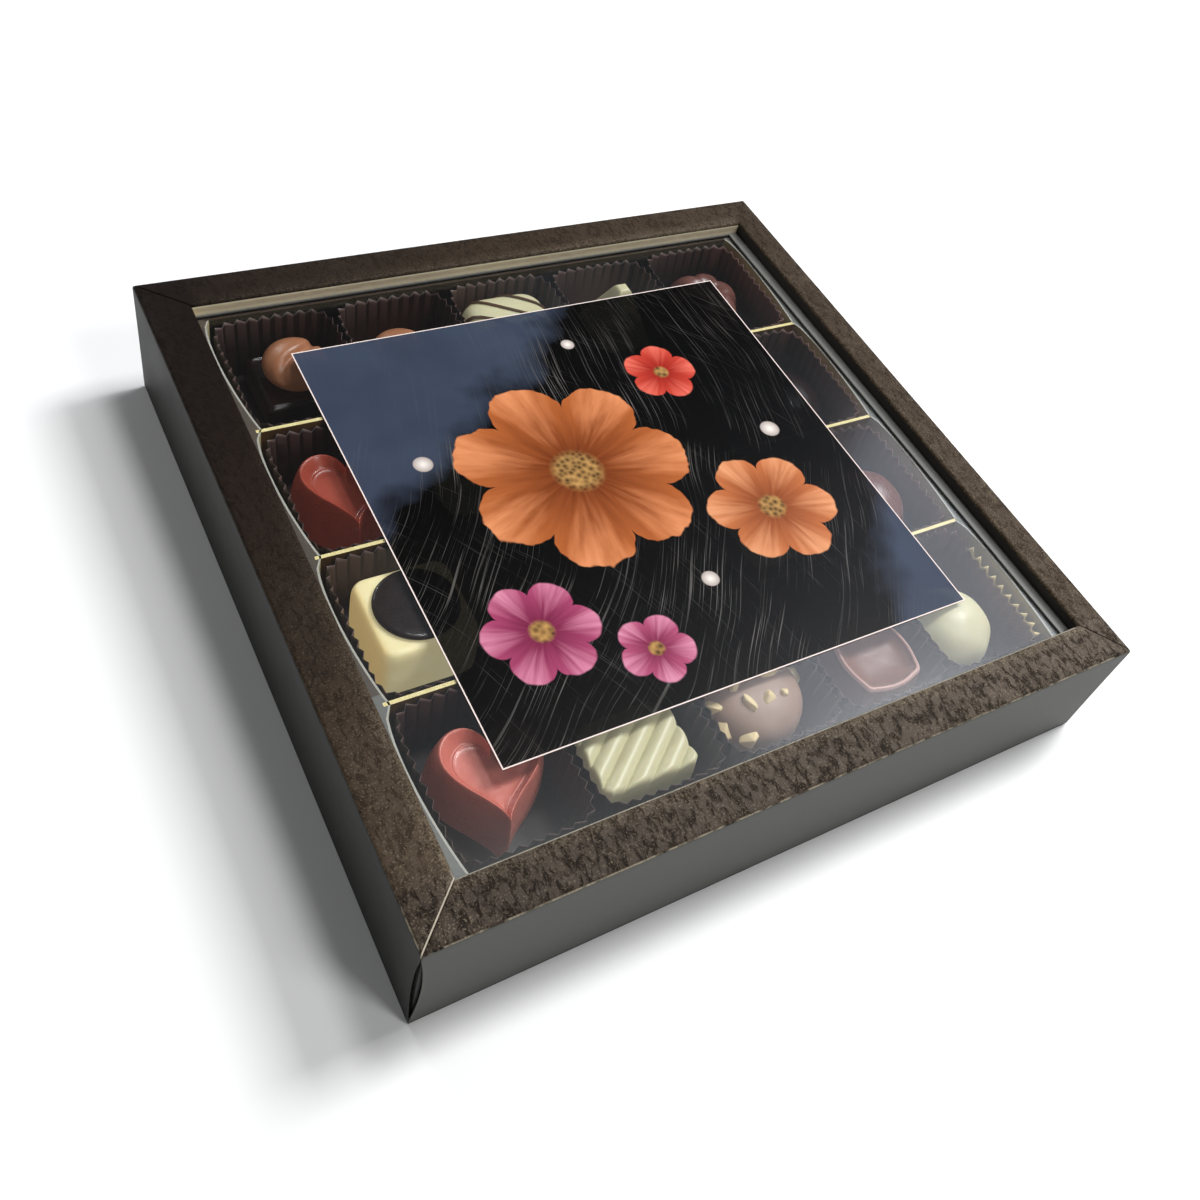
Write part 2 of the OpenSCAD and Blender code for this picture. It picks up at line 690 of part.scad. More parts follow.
module cream_disc() color([0.18, 0.09, 0.07]) in_cup(3, 1, cream_w, cream_w)
    translate([0, 0, cream_h]) cylinder(d = disc_d, h = disc_t, $fn = 2 * round_fn);

// Low square with a bevel round its top
module mocha_square() {
    side_h = mocha_h - mocha_bevel;
    a = mocha_w / 2;
    b = a - mocha_bevel;
    loft([for (level = [[a, 0], [a, side_h], [b, mocha_h]])
        [for (s = [[-1, -1], [-1, 1], [1, 1], [1, -1]]) [s[0] * level[0], s[1] * level[0], level[1]]]]);
}

module mocha_in_cup(c) in_cup(1, c, mocha_w, mocha_w) children();

module mocha_square_r1c1() color([0.16, 0.10, 0.08]) mocha_in_cup(1) mocha_square();
module mocha_square_r1c2() color([0.16, 0.10, 0.08]) mocha_in_cup(2) mocha_square();

// Button with a round top, a short upright foot and a groove across it
module button() {
    r = button_d / 2;
    foot_h = button_h - r;
    groove_sink_share = 0.25;
    difference() {
        rotate_extrude($fn = 2 * round_fn) union() {
            square([r, foot_h]);
            intersection() {
                translate([0, foot_h]) circle(r = r, $fn = 4 * round_fn);
                square([r, button_h]);
            }
        }
        rotate([0, 0, groove_turn]) translate([-button_d, 0, button_h + groove_w * groove_sink_share])
            rotate([0, 90, 0]) cylinder(r = groove_w, h = 2 * button_d, $fn = round_fn);
    }
}

module mocha_buttons() color([0.62, 0.42, 0.30])
    for (c = [1, 2]) mocha_in_cup(c) translate([0, 0, mocha_h]) button();

// Oval plan: two bulging sides, tangent to the round ends
module oval_plan() {
    a = oval_l / 2 - oval_end_r;
    b = oval_w / 2;
    side_r = (a * a + b * b - oval_end_r * oval_end_r) / (2 * (b - oval_end_r));
    for (s = [-1, 1]) translate([s * a, 0]) circle(r = oval_end_r, $fn = 2 * round_fn);
    intersection() {
        square([2 * a * side_r / (side_r - oval_end_r), oval_w], center = true);
        intersection_for(s = [-1, 1]) translate([0, s * (b - side_r)])
            circle(r = side_r, $fn = 4 * round_fn);
    }
}

// Radius of an oval's arch, and the arch itself as a bar along the oval
arch_r = sag_r(oval_w, oval_h / 2);

module arch(r) translate([-oval_l, 0, oval_h - arch_r]) rotate([0, 90, 0])
    cylinder(r = r, h = 2 * oval_l, $fn = 4 * round_fn);

module oval() intersection() {
    linear_extrude(oval_h + overrun) oval_plan();
    arch(arch_r);
}

module oval_in_cup(r, c) in_cup(r, c, oval_l, oval_w) children();

module striped_oval_r1c3() color([0.88, 0.86, 0.70]) oval_in_cup(1, 3) oval();
module striped_oval_r3c4() color([0.24, 0.15, 0.11]) oval_in_cup(3, 4) oval();

// Stripes that lie slantwise over the arch of an oval
module stripes() {
    pitch = oval_l / stripes_across;
    reach = oval_w * stripe_reach_share;
    intersection() {
        difference() {
            arch(arch_r + stripe_t);
            arch(arch_r);
        }
        for (i = [-1:1]) translate([i * pitch, 0, oval_h]) rotate([0, 0, stripe_turn])
            cube([reach, stripe_w, oval_h], center = true);
    }
}

module oval_stripes() color([0.20, 0.14, 0.10]) {
    oval_in_cup(1, 3) stripes();
    oval_in_cup(3, 4) stripes();
}

module pyramid_r1c4() color([0.92, 0.90, 0.80]) in_cup(1, 4, pyramid_w, pyramid_w)
    loft([for (level = [[pyramid_w / 2, 0], [pyramid_tip / 2, pyramid_h]])
        [for (s = [[-1, -1], [-1, 1], [1, 1], [1, -1]]) [s[0] * level[0], s[1] * level[0], level[1]]]]);

// Flower: a ring with petals, drawn in as it rises and dished about a raised middle
function flower_ring(shrink, z) =
    [for (i = [0:flower_points - 1])
        let (
            a = -360 * i / flower_points,
            r = flower_d / 2 - petal_notch * (1 - cos(petals * a)) / 2 - shrink
        ) [r * cos(a), r * sin(a), z]];

// Each level of a flower as shares of its radius drawn in and of its height
flower_level_shares = [
    [0, 0], [0.02, 0.45], [0.10, 0.72], [0.24, 0.88], [0.44, 0.92], [0.52, 0.84],
    [0.60, 0.92], [0.72, 1]
];

module flower() loft([
    for (s = flower_level_shares)
        flower_ring(s[0] * (flower_d / 2 - petal_notch), s[1] * flower_h)
]);

module flower_in_cup(r, c) in_cup(r, c, flower_d, flower_d) flower();

module flower_r1c5() color([0.36, 0.23, 0.21]) flower_in_cup(1, 5);
module flower_r2c4() color([0.75, 0.70, 0.58]) flower_in_cup(2, 4);

lid_front();
lid_right();
lid_back();
lid_left();
lid_corner_tabs();
window_ring();
window_film();
picture_panel();
tray_floor();
tray_front();
tray_back();
tray_left();
tray_right();
tray_corner_tabs();
raised_floor();
liner_front();
liner_back();
liner_left();
liner_right();
divider_back();
divider_middle();
divider_front();
cups_row1();
cups_row2();
cups_row3();
cups_row4();
mocha_square_r1c1();
mocha_square_r1c2();
mocha_buttons();
striped_oval_r1c3();
pyramid_r1c4();
flower_r1c5();
heart_r2c1();
ribbed_block_r2c2();
rimmed_square_r2c3();
flower_r2c4();
dome_r2c5();
cream_square_r3c1();
cream_disc();
truffle_r3c2();
heart_r3c3();
striped_oval_r3c4();
truffle_r3c5();
heart_r4c1();
ribbed_block_r4c2();
nut_dome_r4c3();
chopped_nuts();
rimmed_square_r4c4();
truffle_r4c5();
oval_stripes();
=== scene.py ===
# %% [markdown]
# # A window box of chocolates
# The carton's folded card, its tray, liner and dividers were built as solids and come in as a
# fixed frame. This notebook dresses them: it gives every surface a finish, and it makes again in
# finer form the pieces whose softness the solids can't hold, which are the lid's folded border,
# the fluted paper cups and the moulded chocolates.

import math
import random

import bmesh
import bpy
from mathutils import Matrix, Vector, noise


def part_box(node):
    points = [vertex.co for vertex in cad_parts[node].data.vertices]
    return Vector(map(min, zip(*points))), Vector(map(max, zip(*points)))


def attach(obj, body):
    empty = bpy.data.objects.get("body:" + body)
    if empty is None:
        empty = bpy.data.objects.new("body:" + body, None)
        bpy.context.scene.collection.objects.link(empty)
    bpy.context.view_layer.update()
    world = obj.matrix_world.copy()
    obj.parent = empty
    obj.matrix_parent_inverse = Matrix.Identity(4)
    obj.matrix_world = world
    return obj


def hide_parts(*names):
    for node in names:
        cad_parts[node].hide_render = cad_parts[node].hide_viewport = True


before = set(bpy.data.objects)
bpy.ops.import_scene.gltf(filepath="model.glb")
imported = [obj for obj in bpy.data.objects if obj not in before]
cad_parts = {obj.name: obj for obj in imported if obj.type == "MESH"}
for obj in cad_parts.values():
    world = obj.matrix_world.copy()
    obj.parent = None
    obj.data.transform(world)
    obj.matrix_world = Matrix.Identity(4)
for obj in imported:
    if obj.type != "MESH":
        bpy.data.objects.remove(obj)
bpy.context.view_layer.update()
MM = 0.001

# %% [markdown]
# ## Camera
# The box is seen from above its front left corner, from barely two box widths away, so its
# perspective is strong. The lens axis doesn't meet the picture's middle, and a small shift of
# the lens gives the same framing without bending the box's upright edges.

# %% Make the camera
EYE = Vector((-149.19, -173.56, 263.22)) * MM
AHEAD = Vector((0.46806, 0.47997, -0.74199))
RIGHTWARD = Vector((0.84809, -0.47992, 0.22454))
SENSOR_WIDTH, LENS = 36, 36.27  # mm
LENS_SHIFT = (-0.0489, -0.0433)
NEAREST = 10 * MM
camera_data = bpy.data.cameras.new("camera")
camera_data.sensor_width = SENSOR_WIDTH
camera_data.lens = LENS
camera_data.shift_x, camera_data.shift_y = LENS_SHIFT
camera_data.clip_start = NEAREST
camera = bpy.data.objects.new("camera", camera_data)
upward = RIGHTWARD.cross(AHEAD).normalized()
facing = Matrix((RIGHTWARD, upward, -AHEAD)).transposed()
camera.matrix_world = Matrix.Translation(EYE) @ facing.to_4x4()
bpy.context.scene.collection.objects.link(camera)
bpy.context.scene.camera = camera
print("camera above the table by", round(EYE.z / MM), "mm")

# %% [markdown]
# ## Floor and light
# The floor is white. One strong soft lamp stands at the right, 57 degrees up, and casts the broad
# soft shadow on the left; a smaller one higher up makes that shadow darker along the walls. Two
# weak, cool and very large panels stand where the film mirrors them, so its lower right looks
# milky. A small lamp behind puts glints on the chocolates, and one in front keeps the front wall
# readable. The sky is brighter at the horizon than overhead, so the film stays clear at the back.

# %% Lay the floor and hang the lamps
FLOOR_HALF = 3  # metres
COOL = (0.84, 0.88, 1)
COOLER = (0.8, 0.88, 1)
BOX_MIDDLE = (0, 0, 20)
WINDOW_MIDDLE = (0, 0, 33)
# Name, place and aim in mm, side in mm, watts, colour
LAMPS = [
    ("key_lamp", (812, 62, 1259), BOX_MIDDLE, 385, 16, (1, 1, 1)),
    ("top_lamp", (321, 146, 1458), BOX_MIDDLE, 262, 6.5, (1, 1, 1)),
    ("window_lamp", (885, 240, 850), (50, -50, 33), 620, 2.3, COOL),
    ("sky_panel", (600, 520, 1050), WINDOW_MIDDLE, 800, 0.4, COOLER),
    ("back_lamp", (-250, 1250, 700), BOX_MIDDLE, 160, 3.5, (1, 1, 1)),
    ("front_lamp", (364, -781, 1103), BOX_MIDDLE, 320, 5, (1, 1, 1)),
]
# Height on the sky, from 0 at the horizon to 1 overhead, and brightness there
SKY_STOPS = ((0.15, 0.25), (0.42, 0.07))

floor_form = bmesh.new()
bmesh.ops.create_grid(floor_form, x_segments=1, y_segments=1, size=FLOOR_HALF)
floor_mesh = bpy.data.meshes.new("floor")
floor_form.to_mesh(floor_mesh)
floor_form.free()
floor = bpy.data.objects.new("floor", floor_mesh)
bpy.context.scene.collection.objects.link(floor)

for name, place, aim, size, power, colour in LAMPS:
    lamp_data = bpy.data.lights.new(name, "AREA")
    lamp_data.size = size * MM
    lamp_data.energy = power
    lamp_data.color = colour
    lamp = bpy.data.objects.new(name, lamp_data)
    lamp.location = Vector(place) * MM
    lamp.rotation_euler = (Vector(aim) - Vector(place)).to_track_quat("-Z", "Y").to_euler()
    bpy.context.scene.collection.objects.link(lamp)

bpy.context.scene.view_settings.view_transform = "Standard"
world = bpy.data.worlds.new("studio")
world.use_nodes = True
sky = world.node_tree
sky_place = sky.nodes.new("ShaderNodeTexCoord")
sky_height = sky.nodes.new("ShaderNodeSeparateXYZ")
sky_ramp = sky.nodes.new("ShaderNodeValToRGB")
for stop, (position, level) in zip(sky_ramp.color_ramp.elements, SKY_STOPS):
    stop.position, stop.color = position, (level, level * 1.02, level * 1.04, 1)
sky.links.new(sky_place.outputs["Generated"], sky_height.inputs[0])
sky.links.new(sky_height.outputs["Z"], sky_ramp.inputs["Fac"])
sky.links.new(sky_ramp.outputs["Color"], sky.nodes["Background"].inputs["Color"])
bpy.context.scene.world = world

# %% [markdown]
# ## How a finish is written
# A material is a graph of nodes. Written link by link it hides the idea, so a socket is wrapped
# in a small class whose + - * / add Math nodes, and a finish can be read as a formula. All
# patterns follow Object coordinates, which are metres in the box's own frame, so their scales
# are given in millimetres.


# %% Wrap sockets and materials
SCREEN_GAMMA = 2.2


class Wire:
    """An output socket on which Python's operators add Math nodes."""

    def __init__(self, finish, socket):
        self.finish = finish
        self.socket = socket

    def maths(self, operation, *others, clamp=False):
        settings = {"operation": operation, "use_clamp": clamp}
        return self.finish.node("Math", settings, [self, *others])

    def __add__(self, other):
        return self.maths("ADD", other)

    def __sub__(self, other):
        return self.maths("SUBTRACT", other)

    def __rsub__(self, other):
        return self.finish.node("Math", {"operation": "SUBTRACT"}, [other, self])

    def __mul__(self, other):
        return self.maths("MULTIPLY", other)

    def __truediv__(self, other):
        return self.maths("DIVIDE", other)

    def __abs__(self):
        return self.maths("ABSOLUTE")

    __radd__ = __add__
    __rmul__ = __mul__

    def above(self, edge, soft):
        """A mask that goes from 0 to 1 across the edge, over the given width."""
        return ((self - edge) / soft).maths("ADD", 0.5, clamp=True)

    def below(self, edge, soft):
        return 1 - self.above(edge, soft)


class Finish:
    """A material to which each call adds a node."""

    def __init__(self, name):
        self.material = bpy.data.materials.new(name)
        self.material.use_nodes = True
        self.tree = self.material.node_tree
        self.tree.nodes.clear()
        self.place = self.node("TexCoord", output="Object")

    def node(self, kind, settings=None, inputs=(), output=0):
        made = self.tree.nodes.new("ShaderNode" + kind)
        for name, value in (settings or {}).items():
            setattr(made, name, value)
        for key, value in inputs.items() if isinstance(inputs, dict) else enumerate(inputs):
            if isinstance(value, Wire):
                self.tree.links.new(value.socket, made.inputs[key])
            else:
                made.inputs[key].default_value = value
        return Wire(self, made.outputs[output])

    def axis(self, name, place=None):
        """One coordinate in mm."""
        return self.node("SeparateXYZ", inputs=[place or self.place], output=name) * (1 / MM)

    def stretched(self, scale=(1, 1, 1), turn=0):
        """The place, turned by degrees round the upright axis and scaled."""
        inputs = {"Vector": self.place, "Scale": scale, "Rotation": (0, 0, math.radians(turn))}
        return self.node("Mapping", inputs=inputs)

    def noise(self, size, detail=3, rough=0.5, warp=0, place=None):
        """Cloudy noise from 0 to 1 whose blobs are about size mm across."""
        inputs = {"Vector": place or self.place, "Scale": 1 / (size * MM), "Detail": detail}
        inputs.update({"Roughness": rough, "Distortion": warp})
        return self.node("TexNoise", inputs=inputs, output="Fac")

    def cells(self, size):
        """Distance to the middle of the nearest cell, in shares of size mm."""
        inputs = {"Vector": self.place, "Scale": 1 / (size * MM)}
        return self.node("TexVoronoi", inputs=inputs, output="Distance")

    def blend(self, mask, *colours):
        """The first colour where the mask is 0 and the second where it is 1."""
        first, second = [tint(*c) if isinstance(c, tuple) else c for c in colours]
        return self.node("Mix", {"data_type": "RGBA"}, {0: mask, 6: first, 7: second}, 2)

    def bump(self, height, depth):
        """A Bump node whose height is in shares of depth mm."""
        inputs = {"Height": height, "Distance": depth * MM, "Strength": 1}
        return self.node("Bump", inputs=inputs, output="Normal")

    def done(self, shader):
        """Wires a shader to the output and gives the material."""
        end = self.tree.nodes.new("ShaderNodeOutputMaterial")
        self.tree.links.new(shader.socket, end.inputs["Surface"])
        return self.material

    def solid(self, base, rough, bump=None, **more):
        """The Principled shader; an underscore in a name stands for a space."""
        inputs = {"Base Color": base, "Roughness": rough}
        inputs.update({name.replace("_", " "): value for name, value in more.items()})
        if bump:
            inputs["Normal"] = bump
        return self.done(self.node("BsdfPrincipled", inputs=inputs))


def tint(*screen):
    """A colour from red, green and blue as on a screen, from 0 to 255."""
    return (*[(c / 255) ** SCREEN_GAMMA for c in screen], 1)


# %% Paint the floor
FLOOR_WHITE, FLOOR_MOTTLE = 0.86, 0.04
sheet = Finish("floor_paper")
floor_mesh.materials.append(sheet.solid(sheet.noise(60) * FLOOR_MOTTLE + FLOOR_WHITE, 0.7))

# %% [markdown]
# ## Card and paper
# The lid's border wears an embossed paper like worn leather: brown, with dark pits and paler
# rubbed spots. Painted light and shade make it darkest at the back left and lightest at the front
# right, and a thin painted highlight runs along the front border's inner edge. Its walls are
# smooth satin card with painted shade along their foot, the left wall a darker copy as painted
# shade, and cut edges and folds show paler fibre. An image could be wrapped round the box, but
# noise has no seams, so each paper is a formula: a base colour, and a blend for each thing that
# lies on it.

# %% Mix the embossed paper
HALF = 100.0  # half the box's side
BORDER_IN = 87  # the front and left borders lie beyond this distance from the middle
RUBBED = (140, 126, 106)


def embossed_paper():
    f = Finish("embossed_paper")
    x, y = f.axis("X"), f.axis("Y")
    out = abs(x).maths("MAXIMUM", abs(y))
    front, left = y.below(-BORDER_IN, 3), x.below(-BORDER_IN, 3)
    # Painted light and shade: a ramp from 0 at the back left to 1 at the front right;
    # the left border brightens late
    near = (x - y) / (4 * HALF) + 0.5
    along = 0.5 - y / (2 * HALF)
    near = near + left * (along * along * along * 0.9 - near)
    grain = f.noise(0.45, 4, 0.65)
    clouds = f.noise(9, 3, 0.6)
    pits = f.noise(2.1, 3, 0.6, 0.6, f.stretched((1.4, 0.75, 1), 12)).above(0.54, 0.16)
    flecks = f.noise(0.45, 2, 0.6).above(0.62, 0.1)
    inner = out.below(90, 4) * grain.above(0.5, 0.2) * near
    fold = out.above(99.65, 0.22) * f.noise(3, 4).above(0.47, 0.16) * (front * 0.75 + 0.05)
    # A thin pale line along the front border's inner edge: painted highlight
    lip = out.above(88.2, 0.1) * out.below(88.55, 0.15) * front
    # The front border's own painted light ramp, darker at its left end
    front_light_ramp = f.blend(x / (2 * HALF) + 0.5, (54, 46, 40), (80, 71, 63))
    # Painted light and shade: the ramp darkens the border towards the back left
    base = f.blend(near, (24, 14, 8), (80, 67, 54))
    base = f.blend(x.above(90, 1) * 0.35, base, (30, 22, 17))
    base = f.blend(front, base, front_light_ramp)
    base = f.blend(clouds.above(0.5, 0.4) * grain * near * 0.6, base, (112, 100, 86))
    base = f.blend(pits * (front * 0.3 + 0.5), base, (24, 17, 13))
    base = f.blend(flecks * near * 0.5, base, RUBBED)
    base = f.blend(inner * 0.6, base, (140, 126, 104))
    base = f.blend(fold, base, (160, 150, 130))
    base = f.blend(lip * 0.8, base, (168, 164, 152))
    height = (1 - pits) * (front * 0.4 + 0.5) + grain * 0.35
    rough = 0.52 + pits * 0.2 - flecks * 0.08
    bump = f.bump(height, 0.2)
    return f.solid(base, rough, bump, Specular_IOR_Level=0.1)


EMBOSSED = embossed_paper()


# %% Mix the plain cards
def satin_card(name, colour, low_colour):
    """Smooth printed card, with painted shade along its foot."""
    f = Finish(name)
    z = f.axis("Z")
    fibre = f.noise(0.35, 3, 0.6)
    clouds = f.noise(14, 4, 0.6, 0.4)
    base = f.blend(clouds, low_colour, colour)
    # Painted shade along the foot
    base = f.blend(z.below(1.1, 0.8), base, (24, 23, 21))
    rough = 0.42 + clouds * 0.14 + fibre * 0.06
    bump = f.bump(fibre * 0.6 + clouds, 0.05)
    return f.solid(base, rough, bump, Specular_IOR_Level=0.15)


def fibre_card(name, colour, dark, roughness=0.7):
    """Bare card with fibres and slow clouds."""
    f = Finish(name)
    fibre = f.noise(1.2, 4, 0.65, 0.6)
    clouds = f.noise(12, 2)
    base = f.blend(fibre * 0.6 + clouds * 0.4, dark, colour)
    return f.solid(base, roughness, f.bump(f.noise(0.4, 3), 0.04))


def return_card():
    """The turned-in strip: a painted highlight along its fold, painted light lower down."""
    f = Finish("cream_return_card")
    z = f.axis("Z")
    fibre = f.noise(1.4, 4, 0.65, 0.6, f.stretched((0.35, 1, 1.6)))
    base = f.blend(fibre, (160, 142, 110), (224, 210, 178))
    # Painted highlight along the fold, and painted light on the lower part
    base = f.blend(z.above(36.1, 0.7), base, (244, 236, 206))
    base = f.blend(z.below(34.5, 0.6) * 0.7, base, (224, 214, 186))
    return f.solid(base, 0.6, f.bump(fibre, 0.1))


WALL = satin_card("satin_wall_card", (92, 92, 88), (78, 79, 74))
SHADED_WALL = satin_card("shaded_wall_card", (54, 55, 51), (43, 45, 41))
CREAM_CARD = return_card()
# Nearly black card for returns and hidden faces that lie in shade: painted shade
SHADE_CARD = fibre_card("painted_shade_card", (40, 36, 33), (22, 19, 17), 0.6)
CUT_EDGE = fibre_card("cut_edge", (205, 196, 178), (150, 138, 118))
FLANGE = fibre_card("grey_flange_card", (112, 112, 108), (86, 86, 83), 0.5)
INNER = fibre_card("tray_card", (70, 62, 54), (48, 42, 36), 0.65)
print("materials so far:", len(bpy.data.materials))

# %% [markdown]
# ## Putting a new piece in its place
# Every new piece is a bmesh in millimetres. One function turns it into an object: it scales it to
# metres, marks edges sharper than an angle so that the rest shades smoothly, gives it its
# materials, hangs it on its body, and hides the solids that it stands for.


# %% Turn a bmesh into a piece
def piece(form, name, body, materials, nodes, sharp=40, rounds=0):
    """A finished object; sharp is in degrees, rounds is how often it is subdivided."""
    bmesh.ops.scale(form, vec=(MM, MM, MM), verts=form.verts)
    for face in form.faces:
        face.smooth = True
    for edge in form.edges:
        if len(edge.link_faces) == 2:
            edge.smooth = edge.calc_face_angle() < math.radians(sharp)
    mesh = bpy.data.meshes.new(name)
    form.to_mesh(mesh)
    form.free()
    made = bpy.data.objects.new(name, mesh)
    bpy.context.scene.collection.objects.link(made)
    for material in materials:
        mesh.materials.append(material)
    if rounds:
        soft = made.modifiers.new("soft", "SUBSURF")
        soft.levels = soft.render_levels = rounds
    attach(made, body)
    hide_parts(*nodes)
    return made


def turned_by(form, degrees):
    """Turns a form round the upright axis."""
    turn = Matrix.Rotation(math.radians(degrees), 3, "Z")
    bmesh.ops.rotate(form, cent=(0, 0, 0), matrix=turn, verts=form.verts)


def cut(form, point, normal, clear=True, near=1e-5):
    """Cuts a form by a plane, and clears what lies beyond it."""
    bmesh.ops.bisect_plane(form, geom=[*form.verts, *form.edges, *form.faces], dist=near,
                           plane_co=point, plane_no=normal, clear_outer=clear)


def close(form):
    """Fills a form's openings and turns its faces outward."""
    openings = [e for e in form.edges if e.is_boundary]
    if openings:
        bmesh.ops.holes_fill(form, edges=openings, sides=0)
    bmesh.ops.recalc_face_normals(form, faces=form.faces)


def new_points(made):
    """The vertices among what an extrusion made."""
    return [v for v in made if isinstance(v, bmesh.types.BMVert)]


def new_rim(made):
    """The edges among what an extrusion made that join two of its new vertices."""
    fresh = set(new_points(made))
    return [e for e in made if isinstance(e, bmesh.types.BMEdge) and fresh.issuperset(e.verts)]


# %% [markdown]
# ## The lid's four sides
# On the real lid each side is one strip of card, scored and folded: up the wall, over a soft
# fold, along the border, and down into a return that carries the window. The quickest true way
# is to draw that section once, pull it along the side's length, and cut both ends with the two
# mitre planes. The wall's ends are drawn back along an arc, because the glued corner springs
# open a little, most of all at the front left.

# %% Draw the section
CARD = 0.8
FOOT = 0.5
SHOULDER = 37.0
TOP = 37.5
FOLD = 1.0
RING_TOP = 33.5
LAP = 6.0
WALL_STEPS = 16


def arc(x, z, radius, start, end, steps=6):
    """Points of an arc from one angle to another, in degrees."""
    turns = [math.radians(start + (end - start) * i / steps) for i in range(steps + 1)]
    return [(x + radius * math.cos(a), z + radius * math.sin(a)) for a in turns]


def section(width):
    """The folded strip from its outer foot, round over the border, and back inside."""
    climb = [FOOT + (SHOULDER - FOLD - FOOT) * i / WALL_STEPS for i in range(WALL_STEPS)]
    over = arc(FOLD, SHOULDER - FOLD, FOLD, 180, 100)
    across = [(width * t, SHOULDER + (TOP - SHOULDER) * t ** 0.6) for t in (0.25, 0.5, 0.75)]
    down = arc(width - FOLD, TOP - FOLD, FOLD, 90, 0)
    lap = [(width, RING_TOP), (width - LAP, RING_TOP), (width - LAP, RING_TOP + CARD)]
    back = [(width - CARD, RING_TOP + CARD), (width - CARD, TOP - CARD - 0.3)]
    inside = [(CARD, SHOULDER - CARD - 0.2)] + [(CARD, z) for z in reversed(climb)]
    return [(0, z) for z in climb] + over + across + down + lap + back + inside


# %% Pull it and cut the mitres
SIDES = ["front", "right", "back", "left"]
BORDERS = {"front": 12.0, "right": 9.5, "back": 12.0, "left": 12.0}
SPRUNG = ("left", "front")
# How far each wall draws back at a corner, and how deep the fold line along its mitre is
GAPS = {SPRUNG: 1.4, ("front", "right"): 0.25, ("right", "back"): 0.25, ("back", "left"): 0.25}
OPEN_CREASE, CREASE = 0.3, 0.05
CREASE_CUTS = (0.3, 0.8)
MITRE_PLAY = 0.06
BENT_END = 3
# The places of a side's materials, after the embossed paper
FACE, TURNED_IN, EDGE, HIDDEN = 1, 2, 3, 4


def lid_side(index):
    side, before, after = SIDES[index], SIDES[index - 1], SIDES[(index + 1) % 4]
    width = BORDERS[side]
    form = bmesh.new()
    ring = [form.verts.new((-HALF, -HALF + y, z)) for y, z in section(width)]
    profile = form.faces.new(ring)
    pulled = bmesh.ops.extrude_face_region(form, geom=[profile])["geom"]
    bmesh.ops.translate(form, vec=(2 * HALF, 0, 0), verts=new_points(pulled))
    mitres = {}
    for end, neighbour in ((-1, before), (1, after)):
        corner = Vector((end * (HALF - MITRE_PLAY), -HALF, 0))
        mitres[end] = corner, Vector((end * width, BORDERS[neighbour], 0)).normalized()
    for corner, normal in mitres.values():
        cut(form, corner, normal)
        close(form)
    for corner, normal in mitres.values():
        for inward in CREASE_CUTS:
            cut(form, corner - normal * inward, normal, clear=False)
    bmesh.ops.recalc_face_normals(form, faces=form.faces)

    def from_mitre(point):
        """Distance from the nearer mitre, in mm, and which end it is at."""
        end = 1 if point.x > 0 else -1
        corner, normal = mitres[end]
        return normal.dot(corner - Vector((point.x, point.y, 0))), end

    crease = OPEN_CREASE if SPRUNG in ((before, side), (side, after)) else CREASE
    for v in form.verts:
        if from_mitre(v.co)[0] < 0.1 and v.co.z > SHOULDER - 0.9:
            v.co.z -= crease
    sags = {-1: GAPS[(before, side)], 1: GAPS[(side, after)]}
    middle, reach = (FOOT + SHOULDER) / 2, (SHOULDER - FOOT) / 2 - 2 * FOLD
    for v in form.verts:
        share = 1 - ((v.co.z - middle) / reach) ** 2
        if v.co.y < -HALF + CARD + 0.1 and share > 0 and abs(v.co.x) > HALF - BENT_END:
            end = math.copysign(1, v.co.x)
            v.co.x -= end * sags[int(end)] * share
    for face in form.faces:
        centre, normal = face.calc_center_median(), face.normal
        away, end = from_mitre(centre)
        rubbed = (side, end) == ("left", 1) and away < CREASE_CUTS[0] and centre.z > SHOULDER - 1
        if away < 0.05 or rubbed:
            face.material_index = EDGE
        elif centre.y < -HALF + 0.3 and centre.z < SHOULDER - 0.6 * FOLD:
            face.material_index = FACE
        elif normal.y > 0.7 and centre.y > -HALF + width - 0.2 and centre.z < TOP - 0.9 * FOLD:
            face.material_index = TURNED_IN
        elif normal.z < -0.2 or centre.y > -HALF + 0.6 and centre.z < SHOULDER - 0.5:
            face.material_index = HIDDEN
    # The cut ends are bent, so they are split into rungs that follow the bend
    ends = [face for face in form.faces if len(face.verts) > 4]
    bmesh.ops.triangulate(form, faces=ends)
    turned_by(form, 90 * index)
    # The front and right returns take the black card as painted shade, the others the cream card
    inner = CREAM_CARD if side in ("back", "left") else SHADE_CARD
    wall = SHADED_WALL if side == "left" else WALL
    materials = [EMBOSSED, wall, inner, CUT_EDGE, SHADE_CARD]
    return piece(form, "folded_" + side, "lid", materials, ["lid_" + side], sharp=50)


print("faces of the lid's sides:", [len(lid_side(i).data.polygons) for i in range(4)])

# %% [markdown]
# ## Dividers, tray and window ring
# These are flat card, and the solids already have their true shape, so they only take a finish.
# The dividers are gold-brown with a pale cut edge, which a mask on height alone can draw. The
# liner's front and back show in deep shade, so theirs is nearly black.


# %% Finish the flat card
def cut_card(name, top_z, face_colour, face_dark, edge_colour, edge_dark):
    """Card whose top edge, near top_z mm, shows paler fibre."""
    f = Finish(name)
    z = f.axis("Z")
    fibre = f.noise(0.7, 4, 0.65, 0.5)
    clouds = f.noise(8, 3)
    face = f.blend(clouds, face_dark, face_colour)
    edge = f.blend(fibre.above(0.5, 0.5), edge_dark, edge_colour)
    base = f.blend(z.above(top_z - 0.1, 0.12), face, edge)
    return f.solid(base, 0.45, f.bump(fibre, 0.08))


def cover(names, material):
    for name in names:
        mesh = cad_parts[name].data
        mesh.materials.clear()
        mesh.materials.append(material)


